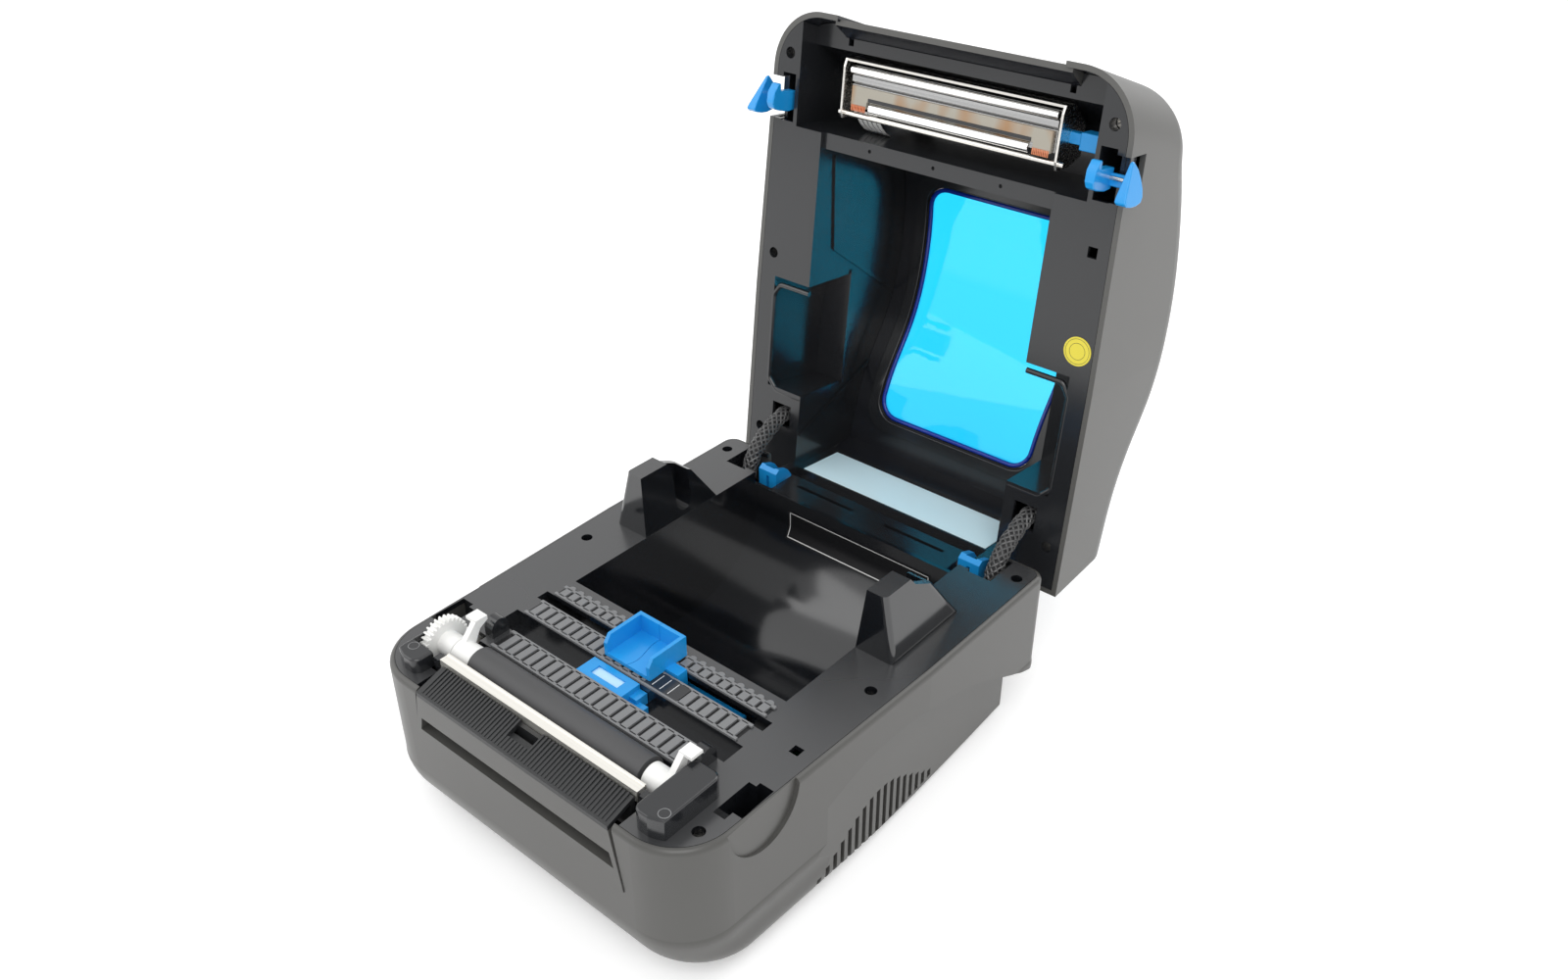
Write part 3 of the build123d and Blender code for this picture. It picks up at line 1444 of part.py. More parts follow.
def main():
    os.makedirs("parts", exist_ok=True)
    centred = Pos(0, -open_middle_y, 0)
    for name, make in base_nodes.items():
        export_step(centred * make(), f"parts/{name}.step")
    for name, make in lid_nodes.items():
        export_step(centred * opened(make()), f"parts/{name}.step")


main()
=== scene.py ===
import json
import math
import bmesh
import bpy
from mathutils import Matrix, Vector
from mathutils.bvhtree import BVHTree


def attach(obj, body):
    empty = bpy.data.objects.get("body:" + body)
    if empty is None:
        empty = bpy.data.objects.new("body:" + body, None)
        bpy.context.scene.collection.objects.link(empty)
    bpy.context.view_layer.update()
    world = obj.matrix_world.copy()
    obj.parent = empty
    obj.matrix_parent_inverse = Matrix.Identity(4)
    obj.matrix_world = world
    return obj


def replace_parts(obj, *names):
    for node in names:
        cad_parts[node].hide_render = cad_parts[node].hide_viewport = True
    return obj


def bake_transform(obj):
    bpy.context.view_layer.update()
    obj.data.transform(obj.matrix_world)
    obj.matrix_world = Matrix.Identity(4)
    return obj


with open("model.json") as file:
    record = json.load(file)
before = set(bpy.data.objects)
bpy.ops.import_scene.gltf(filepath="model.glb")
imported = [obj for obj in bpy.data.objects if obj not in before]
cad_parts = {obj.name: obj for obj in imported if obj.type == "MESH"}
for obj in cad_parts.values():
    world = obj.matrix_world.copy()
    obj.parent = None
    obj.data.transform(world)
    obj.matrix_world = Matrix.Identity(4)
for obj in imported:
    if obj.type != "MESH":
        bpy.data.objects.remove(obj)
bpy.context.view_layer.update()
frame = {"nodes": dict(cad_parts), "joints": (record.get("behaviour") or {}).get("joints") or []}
nodes = frame["nodes"]
print("frame loaded:", len(nodes), "parts")

mm = 0.001
lidTilt = math.radians(96.17)  # how far the lid stands open
hingeLine = Vector(next(joint["pos_m"] for joint in frame["joints"] if joint["name"] == "lid_hinge"))
hingeLine.x = 0
baseMiddle = 129.0  # mm from the middle of the base back to the hinge
lidRoot = (-22.15, 15.6)  # mm from the hinge to s 0, d 0 with the lid closed


def basePoint(x, y, z):
    # mm to metres: y from the middle of the base, z from the table
    return Vector((x * mm, hingeLine.y + (y - baseMiddle) * mm, z * mm))


def lidPoint(x, s, d):
    # s runs from the lid's hinge end to its front, d from its rim towards its top
    y, z = (lidRoot[0] - s) * mm, (lidRoot[1] + d) * mm
    c, t = math.cos(lidTilt), math.sin(lidTilt)
    return Vector((x * mm, hingeLine.y + y * c + z * t, hingeLine.z - y * t + z * c))


lidAlong = (lidPoint(0, 1, 0) - lidPoint(0, 0, 0)).normalized()
lidDeep = (lidPoint(0, 0, 1) - lidPoint(0, 0, 0)).normalized()


# node helpers


def feed(tree, inputs, values):
    # a socket is linked, any other value is set
    for key, value in values.items():
        if isinstance(value, bpy.types.NodeSocket):
            tree.links.new(value, inputs[key])
        else:
            inputs[key].default_value = value


def addNode(tree, kind, values=None, **settings):
    node = tree.nodes.new(kind)
    for key, value in settings.items():
        setattr(node, key, value)
    feed(tree, node.inputs, values or {})
    return node


def newGroup(name, inputs, outputs, kind="ShaderNodeTree"):
    group = bpy.data.node_groups.new(name, kind)
    for label, socketKind, value in inputs:
        socket = group.interface.new_socket(label, in_out="INPUT", socket_type="NodeSocket" + socketKind)
        if value is not None:
            socket.default_value = value
    for label, socketKind in outputs:
        group.interface.new_socket(label, in_out="OUTPUT", socket_type="NodeSocket" + socketKind)
    return group, group.nodes.new("NodeGroupInput").outputs, group.nodes.new("NodeGroupOutput").inputs


def mathNode(tree, operation, *values):
    return addNode(tree, "ShaderNodeMath", dict(enumerate(values)), operation=operation).outputs[0]


def vectorNode(tree, operation, *values):
    return addNode(tree, "ShaderNodeVectorMath", dict(enumerate(values)), operation=operation).outputs[0]


def scaled(tree, vector, factor):
    return addNode(tree, "ShaderNodeVectorMath", {0: vector, "Scale": factor}, operation="SCALE").outputs[0]


# shader groups


lookOutputs = [("Colour", "Color"), ("Roughness", "Float"), ("Height", "Float")]


def swing(group, noise, low, high):
    # noise stretched to run from -1 to 1
    return addNode(group, "ShaderNodeMapRange", {
        "Value": noise.outputs["Fac"], "From Min": low, "From Max": high,
        "To Min": -1.0, "To Max": 1.0}).outputs["Result"]


def closeLook(group, given, result, drift, spread, noise):
    feed(group, result, {
        "Colour": scaled(group, given["Colour"], mathNode(group, "ADD", drift, 1.0)),
        "Roughness": mathNode(group, "ADD", spread, given["Roughness"]), "Height": noise.outputs["Fac"]})
    return group


def makeGrainGroup():
    # moulded plastic: slight colour drift, uneven gloss and a fine grain
    group, given, result = newGroup(
        "moulded plastic grain",
        [("Colour", "Color", (0.1, 0.1, 0.1, 1)), ("Drift", "Float", 0.1), ("Roughness", "Float", 0.4),
         ("Roughness Spread", "Float", 0.05), ("Grain Size", "Float", 3000.0)], lookOutputs)
    place = addNode(group, "ShaderNodeTexCoord").outputs["Object"]
    cloud = addNode(group, "ShaderNodeTexNoise", {"Vector": place, "Scale": 14.0, "Detail": 2.0})
    grain = addNode(group, "ShaderNodeTexNoise", {
        "Vector": place, "Scale": given["Grain Size"], "Detail": 1.0})
    sway = swing(group, cloud, 0.3, 0.7)
    drift = mathNode(group, "MULTIPLY", sway, given["Drift"])
    spread = mathNode(group, "MULTIPLY", sway, given["Roughness Spread"])
    return closeLook(group, given, result, drift, spread, grain)


def makeBrushGroup():
    # fine lines drawn along one axis, for steel and aluminium
    group, given, result = newGroup(
        "brushed lines",
        [("Colour", "Color", (0.6, 0.6, 0.6, 1)), ("Contrast", "Float", 0.15), ("Roughness", "Float", 0.3),
         ("Stretch", "Vector", (6.0, 900.0, 900.0))], lookOutputs)
    place = addNode(group, "ShaderNodeTexCoord").outputs["Object"]
    stretched = vectorNode(group, "MULTIPLY", place, given["Stretch"])
    lines = addNode(group, "ShaderNodeTexNoise", {"Vector": stretched, "Scale": 1.0, "Detail": 3.0})
    drift = mathNode(group, "MULTIPLY", swing(group, lines, 0.25, 0.75), given["Contrast"])
    return closeLook(group, given, result, drift, drift, lines)


grainGroup = makeGrainGroup()
brushGroup = makeBrushGroup()


# materials


def newMaterial(name):
    material = bpy.data.materials.new(name)
    material.use_nodes = True
    return material, material.node_tree, material.node_tree.nodes["Principled BSDF"].inputs


def grainLook(tree, colour, roughness, drift, spread, grain=3000.0):
    return addNode(tree, "ShaderNodeGroup", {
        "Colour": (*colour, 1), "Drift": drift, "Roughness": roughness, "Roughness Spread": spread,
        "Grain Size": grain}, node_tree=grainGroup).outputs


def addRelief(tree, shader, height, strength, depth=0.0002):
    relief = addNode(tree, "ShaderNodeBump", {"Strength": strength, "Distance": depth, "Height": height})
    tree.links.new(relief.outputs["Normal"], shader["Normal"])


def plastic(name, colour, roughness, drift=0.06, spread=0.04, grain=3000.0, bump=0.03, ior=1.5):
    material, tree, shader = newMaterial(name)
    look = grainLook(tree, colour, roughness, drift, spread, grain)
    feed(tree, shader, {"Base Color": look["Colour"], "Roughness": look["Roughness"], "IOR": ior})
    if bump:
        addRelief(tree, shader, look["Height"], bump)
    return material


def metal(name, colour, roughness, contrast=0.1):
    brush = {"stretch": (6.0, 900.0, 900.0), "relief": 0.05, "depth": 0.0001}
    material, tree, shader = newMaterial(name)
    look = addNode(tree, "ShaderNodeGroup", {
        "Colour": (*colour, 1), "Contrast": contrast, "Roughness": roughness,
        "Stretch": brush["stretch"]}, node_tree=brushGroup).outputs
    feed(tree, shader, {"Base Color": look["Colour"], "Roughness": look["Roughness"], "Metallic": 1.0})
    addRelief(tree, shader, look["Height"], brush["relief"], brush["depth"])
    return material


def mixColours(tree, factor, first, second):
    return addNode(tree, "ShaderNodeMix", {0: factor, 6: first, 7: second}, data_type="RGBA").outputs[2]


def mixLooks(tree, shader, factor, first, second):
    # the second look shows where the factor is 1
    rough = addNode(tree, "ShaderNodeMix", {0: factor, 2: first["Roughness"], 3: second["Roughness"]})
    feed(tree, shader, {
        "Base Color": mixColours(tree, factor, first["Colour"], second["Colour"]),
        "Roughness": rough.outputs[0]})


def shellTwoTone():
    # textured grey outside, gloss black inside: faces that look back at the lid's hollow are inner ones
    shade = {"outer": (0.085, 0.084, 0.079), "inner": (0.012, 0.013, 0.016), "hollow": (104, 45)}
    material, tree, shader = newMaterial("lid shell two tone")
    outer = grainLook(tree, shade["outer"], 0.37, 0.05, 0.03)
    inner = grainLook(tree, shade["inner"], 0.2, 0.1, 0.03)
    place = addNode(tree, "ShaderNodeTexCoord")
    ray = vectorNode(tree, "SUBTRACT", place.outputs["Object"], lidPoint(0, *shade["hollow"]))
    facing = addNode(tree, "ShaderNodeVectorMath", {
        0: ray, 1: place.outputs["Normal"]}, operation="DOT_PRODUCT")
    inside = mathNode(tree, "LESS_THAN", facing.outputs["Value"], 0.0)
    mixLooks(tree, shader, inside, outer, inner)
    addRelief(tree, shader, outer["Height"], 0.05)
    return material


def deckSheenAndGloss():
    # satin texture on the flat top, polished black down in the roll well; the top's lighter colour on its
    # upward faces is painted sheen
    shade = {"top": (0.036, 0.037, 0.039), "well": (0.008, 0.009, 0.011), "topHeight": 0.0872, "upright": 0.8,
             "ior": 1.78}
    material, tree, shader = newMaterial("deck painted sheen top and gloss well")
    top = grainLook(tree, shade["top"], 0.25, 0.05, 0.03)
    well = grainLook(tree, shade["well"], 0.13, 0.1, 0.02)
    place = addNode(tree, "ShaderNodeTexCoord")
    height = addNode(tree, "ShaderNodeSeparateXYZ", {0: place.outputs["Object"]}).outputs[2]
    lift = addNode(tree, "ShaderNodeSeparateXYZ", {0: place.outputs["Normal"]}).outputs[2]
    high = mathNode(tree, "GREATER_THAN", height, shade["topHeight"])
    flat = mathNode(tree, "GREATER_THAN", lift, shade["upright"])
    # high faces that point upward take the lighter colour: painted sheen
    mixLooks(tree, shader, mathNode(tree, "MULTIPLY", high, flat), well, top)
    feed(tree, shader, {"IOR": shade["ior"]})
    return material


def windowTint():
    # clear cyan acrylic that reads deep blue where light runs out at its edge
    tint = {"clear": (0.02, 0.58, 0.92, 1), "edge": (0.0, 0.035, 0.42, 1), "half": (0.053, 0.0695),
            "corner": 0.013, "middle": (73.5, 60), "edgeWidth": 0.003, "roughness": 0.03, "ior": 1.46}
    material, tree, shader = newMaterial("cyan window acrylic")
    place = addNode(tree, "ShaderNodeTexCoord")
    turned = addNode(tree, "ShaderNodeMapping", {
        "Vector": place.outputs["Object"], "Location": lidPoint(0, *tint["middle"]),
        "Rotation": (-lidTilt, 0, 0)}, vector_type="TEXTURE")
    flat = vectorNode(tree, "MULTIPLY", turned.outputs[0], (1, 1, 0))
    folded = vectorNode(tree, "ABSOLUTE", flat)
    inner = (tint["half"][0] - tint["corner"], tint["half"][1] - tint["corner"], 0)
    past = vectorNode(tree, "SUBTRACT", folded, inner)
    outside = vectorNode(tree, "MAXIMUM", past, (0, 0, 0))
    reach = addNode(tree, "ShaderNodeVectorMath", {0: outside}, operation="LENGTH")
    rim = addNode(tree, "ShaderNodeMapRange", {
        "Value": reach.outputs["Value"], "From Min": tint["corner"] - tint["edgeWidth"],
        "From Max": tint["corner"], "To Min": 0.0, "To Max": 1.0})
    feed(tree, shader, {
        "Base Color": mixColours(tree, rim.outputs["Result"], tint["clear"], tint["edge"]),
        "Roughness": tint["roughness"], "IOR": tint["ior"], "Transmission Weight": 1.0})
    return material


def glazedStrip():
    # cream glaze that drifts to gold in patches along the strip
    glaze = {"cream": (0.36, 0.335, 0.28, 1), "gold": (0.34, 0.17, 0.06, 1), "patch": (55.0, 20.0, 20.0),
             "turn": (0.42, 0.58), "roughness": 0.16}
    material, tree, shader = newMaterial("glazed print strip")
    place = addNode(tree, "ShaderNodeTexCoord")
    stretched = vectorNode(tree, "MULTIPLY", place.outputs["Object"], glaze["patch"])
    patches = addNode(tree, "ShaderNodeTexNoise", {"Vector": stretched, "Scale": 1.0, "Detail": 1.5})
    low, high = glaze["turn"]
    ramp = addNode(tree, "ShaderNodeMapRange", {
        "Value": patches.outputs["Fac"], "From Min": low, "From Max": high, "To Min": 0.0, "To Max": 1.0})
    feed(tree, shader, {
        "Base Color": mixColours(tree, ramp.outputs["Result"], glaze["gold"], glaze["cream"]),
        "Roughness": glaze["roughness"]})
    return material


shellGrey = plastic("shell grey texture", (0.068, 0.067, 0.063), 0.36, drift=0.05, spread=0.03, bump=0.06)
shellInside = shellTwoTone()
deckBlack = deckSheenAndGloss()
linerBlack = plastic(
    "liner gloss black", (0.014, 0.015, 0.017), 0.19, drift=0.1, spread=0.03, bump=0.012, ior=1.6)
bedGrey = plastic("paper bed grey", (0.19, 0.193, 0.198), 0.36, bump=0.04)
rampGrey = plastic("ribbed ramp grey", (0.016, 0.017, 0.018), 0.45, bump=0.04)
azure = plastic("azure levers", (0.012, 0.29, 0.7), 0.24, drift=0.04, bump=0.012)
whitePlastic = plastic("white acetal", (0.86, 0.86, 0.84), 0.34, drift=0.02, bump=0.01)
rollerRubber = plastic("ground roller rubber", (0.06, 0.06, 0.062), 0.55, drift=0.1, grain=5000.0, bump=0.08)
footRubber = plastic("foot rubber", (0.02, 0.02, 0.021), 0.8, bump=0.1)
boardGreen = plastic("circuit board lacquer", (0.01, 0.12, 0.05), 0.4)
motorBlack = plastic("motor lacquer", (0.03, 0.03, 0.034), 0.45)
cableWhite = plastic("flat cable", (0.86, 0.86, 0.84), 0.4, bump=0.0)
paperWhite = plastic("blank plate paper", (0.76, 0.95, 1.0), 0.3, drift=0.02, bump=0.0)
paperYellow = plastic("blank sticker", (0.72, 0.62, 0.06), 0.5, drift=0.03, bump=0.0)
# black for the sheet under the bed plates: painted shade in the slots
slotShadeBlack = plastic("painted slot shade black", (0.004, 0.004, 0.005), 0.5, bump=0.0)
# deep blue for the tube at the window's edge: painted shade where light runs out
edgeBlue = plastic("window edge blue", (0.004, 0.03, 0.32), 0.12, bump=0.0)
stripBlack = plastic("blank strip black", (0.008, 0.008, 0.009), 0.4, bump=0.0)
lineWhite = plastic("printed line white", (0.75, 0.75, 0.74), 0.5, bump=0.0)
lineBlack = plastic("printed line black", (0.03, 0.03, 0.03), 0.5, bump=0.0)
switchBlack = plastic("switch black", (0.015, 0.015, 0.016), 0.4)
lightPipe = plastic("light pipe", (0.55, 0.66, 0.6), 0.25, bump=0.0)
sensorLens = plastic("sensor lens", (0.45, 0.7, 0.88), 0.12, bump=0.0)
printCeramic = glazedStrip()
barSteel = metal("tear bar steel", (0.9, 0.88, 0.82), 0.36, contrast=0.05)
platedSteel = metal("plated steel", (0.74, 0.72, 0.68), 0.24)
# one aluminium in two copies: the darker one paints shade in the sink's recesses, the lighter one paints
# highlight on the bead and nose
sinkShadedAluminium = metal("extruded aluminium painted shade", (0.42, 0.42, 0.42), 0.26)
sinkHighlight = metal("aluminium painted highlight", (0.92, 0.92, 0.92), 0.16, contrast=0.04)
padCopper = metal("copper pads", (0.75, 0.3, 0.16), 0.3)
windowBlue = windowTint()
braidBlack = plastic("sleeve braid black", (0.003, 0.003, 0.004), 0.6, bump=0.02)
braidGrey = plastic("sleeve braid grey", (0.085, 0.085, 0.086), 0.28, bump=0.02)

finishes = {
    "lower_shell": shellGrey, "lid_shell": shellInside, "bottom_plate": shellGrey, "front_panel": shellGrey,
    "rubber_feet": footRubber, "deck": deckBlack, "lid_liner": linerBlack, "label_ramp": rampGrey,
    "tear_bar": barSteel, "tear_bar_carrier": linerBlack, "end_cover_left": linerBlack,
    "end_cover_right": linerBlack, "bed_plate_front": bedGrey, "bed_plate_middle": bedGrey,
    "bed_plate_rear": bedGrey, "lever_keepers": linerBlack, "platen_seats": linerBlack,
    "rear_bar": linerBlack, "hinge_clevis_left": azure, "hinge_clevis_right": azure,
    "hinge_pins": platedSteel, "deck_screws": platedSteel, "lid_screws": platedSteel,
    "circuit_board": boardGreen, "stepper_motor": motorBlack, "gear_plate": platedSteel,
    "switch_frame": switchBlack, "power_rocker": switchBlack, "power_inlet": switchBlack,
    "usb_socket": platedSteel,
    "platen_shaft": platedSteel, "platen_rubber": rollerRubber, "platen_gear": whitePlastic,
    "idler_gear": whitePlastic, "motor_pinion": whitePlastic, "platen_lever_left": whitePlastic,
    "platen_lever_right": whitePlastic, "media_guide_left": azure, "media_guide_right": azure,
    "guide_pinion": whitePlastic, "gap_sensor_slider": azure, "sensor_lens": sensorLens,
    "wire_sleeve_left": braidBlack, "wire_sleeve_right": braidBlack, "lid_window": windowBlue,
    "label_plate": paperWhite, "round_sticker": paperYellow, "head_bracket": platedSteel,
    "head_rod": platedSteel, "heat_sink": sinkShadedAluminium, "heating_strip": printCeramic,
    "head_contacts": padCopper, "head_springs": platedSteel, "flat_cable": cableWhite, "head_holders": azure,
    "latch_pins": platedSteel, "latch_left": azure, "latch_right": azure, "feed_button": azure,
    "light_pipes": lightPipe}
for name, material in finishes.items():
    for slot in nodes[name].material_slots:
        slot.material = material
print("finishes on", len(finishes), "parts; without one:", sorted(set(nodes) - set(finishes)))


# mesh helpers


def rectangle(x0, x1, y0, y1):
    return [(x0, y0), (x1, y0), (x1, y1), (x0, y1)]


def circle(x, y, radius, count):
    turns = [2 * math.pi * k / count for k in range(count)]
    return [(x + radius * math.cos(t), y + radius * math.sin(t)) for t in turns]


def acrossLid(s, d, x):
    return lidPoint(x, s, d)


def prism(bm, outline, place, low, high):
    # an outline in two directions, drawn out between low and high in the third
    rings = [[bm.verts.new(place(a, b, c)) for a, b in outline] for c in (low, high)]
    bm.faces.new(rings[0])
    bm.faces.new(rings[1][::-1])
    count = len(outline)
    for i in range(count):
        j = (i + 1) % count
        bm.faces.new((rings[0][i], rings[1][i], rings[1][j], rings[0][j]))


def roundedCorner(outline, index, radius, steps=5):
    # swaps one corner of an outline for an arc
    a, b, c = (Vector(outline[(index + k) % len(outline)]) for k in (-1, 0, 1))
    into, out = (a - b).normalized(), (c - b).normalized()
    half = into.angle(out) / 2
    centre = b + (into + out).normalized() * radius / math.sin(half)
    start, end = b + into * radius / math.tan(half) - centre, b + out * radius / math.tan(half) - centre
    turn = start.angle(end)
    arc = []
    for k in range(steps + 1):
        t = k / steps
        mixed = (start * math.sin((1 - t) * turn) + end * math.sin(t * turn)) / math.sin(turn)
        arc.append(tuple(centre + mixed))
    return outline[:index] + arc + outline[index + 1:]


def tubeAlong(bm, points, radius, sides=10, closed=False):
    # a round bar through points, its ring turned to the mean direction at each of them
    rings = []
    count = len(points)
    upright = Vector((0.31, 0.17, 0.93)).normalized()
    for i, point in enumerate(points):
        before = points[i - 1] if (i or closed) else point
        after = points[(i + 1) % count] if (i < count - 1 or closed) else point
        ahead = (after - before).normalized()
        across = ahead.cross(upright).normalized()
        lift = across.cross(ahead)
        rings.append([bm.verts.new(point + across * a + lift * b) for a, b in circle(0, 0, radius, sides)])
    for i in range(count if closed else count - 1):
        here, there = rings[i], rings[(i + 1) % count]
        for k in range(sides):
            n = (k + 1) % sides
            bm.faces.new((here[k], here[n], there[n], there[k]))
    if not closed:
        bm.faces.new(rings[0][::-1])
        bm.faces.new(rings[-1])


def addPiece(name, bm, material, body, bevel=0.0, segments=3):
    bmesh.ops.recalc_face_normals(bm, faces=bm.faces)
    mesh = bpy.data.meshes.new(name)
    bm.to_mesh(mesh)
    bm.free()
    mesh.materials.append(material)
    for polygon in mesh.polygons:
        polygon.use_smooth = True
    piece = bpy.data.objects.new(name, mesh)
    bpy.context.scene.collection.objects.link(piece)
    if bevel:
        edges = piece.modifiers.new("soft edges", "BEVEL")
        edges.width = bevel * mm
        edges.segments = segments
        edges.limit_method = "ANGLE"
        edges.angle_limit = math.radians(32)
        edges.harden_normals = True
    else:
        mesh.set_sharp_from_angle(angle=math.radians(35))
    if body:
        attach(piece, body)
    return piece


def grow(name, tree, values, material, body, bevel=0.0):
    # runs a Geometry Nodes tree once and keeps its plain mesh
    seed = bpy.data.objects.new(name + " seed", bpy.data.meshes.new(name + " seed"))
    bpy.context.scene.collection.objects.link(seed)
    modifier = seed.modifiers.new("grow", "NODES")
    modifier.node_group = tree
    sockets = {item.name: item.identifier for item in tree.interface.items_tree if item.in_out == "INPUT"}
    for label, value in {**values, "Material": material}.items():
        modifier[sockets[label]] = value
    bpy.context.view_layer.update()
    grown = bpy.data.meshes.new_from_object(seed.evaluated_get(bpy.context.evaluated_depsgraph_get()))
    seed.modifiers.remove(modifier)
    bpy.data.objects.remove(seed)
    bm = bmesh.new()
    bm.from_mesh(grown)
    return addPiece(name, bm, material, body, bevel)


def closeTree(tree, geometry, given, result):
    # instances made real, in the material that was given
    real = addNode(tree, "GeometryNodeRealizeInstances", {"Geometry": geometry})
    finish = addNode(tree, "GeometryNodeSetMaterial", {
        "Geometry": real.outputs["Geometry"], "Material": given["Material"]})
    tree.links.new(finish.outputs["Geometry"], result["Geometry"])
    return tree


def makeRodRow():
    # equal rods at even steps
    tree, given, result = newGroup(
        "row of rods",
        [("Start", "Vector", (0, 0, 0)), ("Step", "Vector", (0.006, 0, 0)), ("Count", "Int", 10),
         ("Radius", "Float", 0.002), ("Length", "Float", 0.004), ("Turn", "Vector", (0, 0, 0)),
         ("Sides", "Int", 16), ("Material", "Material", None)],
        [("Geometry", "Geometry")], "GeometryNodeTree")
    line = addNode(tree, "GeometryNodeMeshLine", {
        "Count": given["Count"], "Start Location": given["Start"],
        "Offset": given["Step"]})
    rod = addNode(tree, "GeometryNodeMeshCylinder", {
        "Vertices": given["Sides"], "Radius": given["Radius"],
        "Depth": given["Length"]})
    placed = addNode(tree, "GeometryNodeInstanceOnPoints", {
        "Points": line.outputs["Mesh"], "Instance": rod.outputs["Mesh"], "Rotation": given["Turn"]})
    return closeTree(tree, placed.outputs["Instances"], given, result)


def makeSlottedPlate():
    # two rails with bars across, so that true slots stay open between the bars
    tree, given, result = newGroup(
        "slotted plate",
        [("Middle", "Vector", (0, 0, 0)), ("Length", "Float", 0.12), ("Width", "Float", 0.012),
         ("Height", "Float", 0.0012), ("Rail", "Float", 0.0016), ("Pitch", "Float", 0.006),
         ("Slot", "Float", 0.0018), ("Bars", "Int", 20), ("Nose", "Float", 0.0),
         ("Material", "Material", None)],
        [("Geometry", "Geometry")], "GeometryNodeTree")
    barReach = mathNode(tree, "SUBTRACT", given["Width"], given["Rail"])
    shift = addNode(tree, "ShaderNodeCombineXYZ", {"Y": mathNode(tree, "MULTIPLY", barReach, 0.5)})
    railSize = addNode(tree, "ShaderNodeCombineXYZ", {
        "X": given["Length"], "Y": given["Rail"], "Z": given["Height"]})
    join = addNode(tree, "GeometryNodeJoinGeometry")
    for operation in ("ADD", "SUBTRACT"):
        rail = addNode(tree, "GeometryNodeMeshCube", {"Size": railSize.outputs[0]})
        moved = addNode(tree, "GeometryNodeTransform", {
            "Geometry": rail.outputs["Mesh"],
            "Translation": vectorNode(tree, operation, given["Middle"], shift.outputs[0])})
        tree.links.new(moved.outputs["Geometry"], join.inputs[0])
    barWidth = mathNode(tree, "SUBTRACT", given["Pitch"], given["Slot"])
    barSize = addNode(tree, "ShaderNodeCombineXYZ", {"X": barWidth, "Y": barReach, "Z": given["Height"]})
    bar = addNode(tree, "GeometryNodeMeshCube", {"Size": barSize.outputs[0]})
    gaps = mathNode(tree, "SUBTRACT", given["Bars"], 1.0)
    spread = mathNode(tree, "MULTIPLY", gaps, given["Pitch"])
    first = addNode(tree, "ShaderNodeCombineXYZ", {"X": mathNode(tree, "MULTIPLY", spread, -0.5)})
    step = addNode(tree, "ShaderNodeCombineXYZ", {"X": given["Pitch"]})
    line = addNode(tree, "GeometryNodeMeshLine", {
        "Count": given["Bars"], "Offset": step.outputs[0],
        "Start Location": vectorNode(tree, "ADD", given["Middle"], first.outputs[0])})
    bars = addNode(tree, "GeometryNodeInstanceOnPoints", {
        "Points": line.outputs["Mesh"], "Instance": bar.outputs["Mesh"]})
    tree.links.new(bars.outputs["Instances"], join.inputs[0])
    nose = addNode(tree, "GeometryNodeMeshCylinder", {
        "Vertices": 24, "Radius": mathNode(tree, "MULTIPLY", barWidth, 0.5), "Depth": given["Nose"]})
    halfHeight = mathNode(tree, "MULTIPLY", given["Height"], 0.5)
    sunk = mathNode(tree, "SUBTRACT", halfHeight, given["Nose"])
    drop = addNode(tree, "ShaderNodeCombineXYZ", {
        "Y": mathNode(tree, "MULTIPLY", given["Width"], 0.5),
        "Z": mathNode(tree, "MULTIPLY", sunk, 0.5)})
    lowered = addNode(tree, "GeometryNodeTransform", {
        "Geometry": nose.outputs["Mesh"], "Translation": drop.outputs[0]})
    noses = addNode(tree, "GeometryNodeInstanceOnPoints", {
        "Points": line.outputs["Mesh"], "Instance": lowered.outputs["Geometry"]})
    wanted = mathNode(tree, "GREATER_THAN", given["Nose"], 0.0)
    chosen = addNode(tree, "GeometryNodeSwitch", {
        "Switch": wanted, "True": noses.outputs["Instances"]}, input_type="GEOMETRY")
    tree.links.new(chosen.outputs[0], join.inputs[0])
    return closeTree(tree, join.outputs["Geometry"], given, result)


rodRow = makeRodRow()
slottedPlate = makeSlottedPlate()


# paper bed


def makeBedPlates():
    # three slotted guide plates over a black sheet of painted shade that makes their slots read deep; the
    # rear one has rounded fins towards the well
    bed = {
        "front": {"half": 62.8, "front": -90.4, "rear": -76.1, "bars": 20, "nose": 0.0},
        "middle": {"half": 70.2, "front": -63.2, "rear": -50.9, "bars": 23, "nose": 0.0},
        "rear": {"half": 70.2, "front": -43.7, "rear": -35.4, "bars": 23, "nose": 6.0}}
    cut = {"low": 88.0, "high": 89.2, "rail": 1.7, "pitch": 6.0, "slot": 1.9, "inset": 0.3, "painted_shade": 0.12}
    for label, plate in bed.items():
        middle = basePoint(0, (plate["front"] + plate["rear"]) / 2, (cut["low"] + cut["high"]) / 2)
        piece = grow("bed_plate_" + label + "_slotted", slottedPlate, {
            "Middle": middle, "Length": 2 * plate["half"] * mm, "Bars": plate["bars"],
            "Width": (plate["rear"] - plate["front"]) * mm, "Height": (cut["high"] - cut["low"]) * mm,
            "Rail": cut["rail"] * mm, "Pitch": cut["pitch"] * mm, "Slot": cut["slot"] * mm,
            "Nose": plate["nose"] * mm}, bedGrey, "base", 0.15)
        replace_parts(piece, "bed_plate_" + label)
        # a black sheet under each plate: painted shade that darkens its slots
        x, inset = plate["half"] - cut["inset"], cut["inset"]
        bm = bmesh.new()
        prism(bm, rectangle(-x, x, plate["front"] + inset, plate["rear"] - inset), basePoint,
              cut["low"], cut["low"] + cut["painted_shade"])
        addPiece("bed_plate_" + label + "_backing", bm, slotShadeBlack, "base")


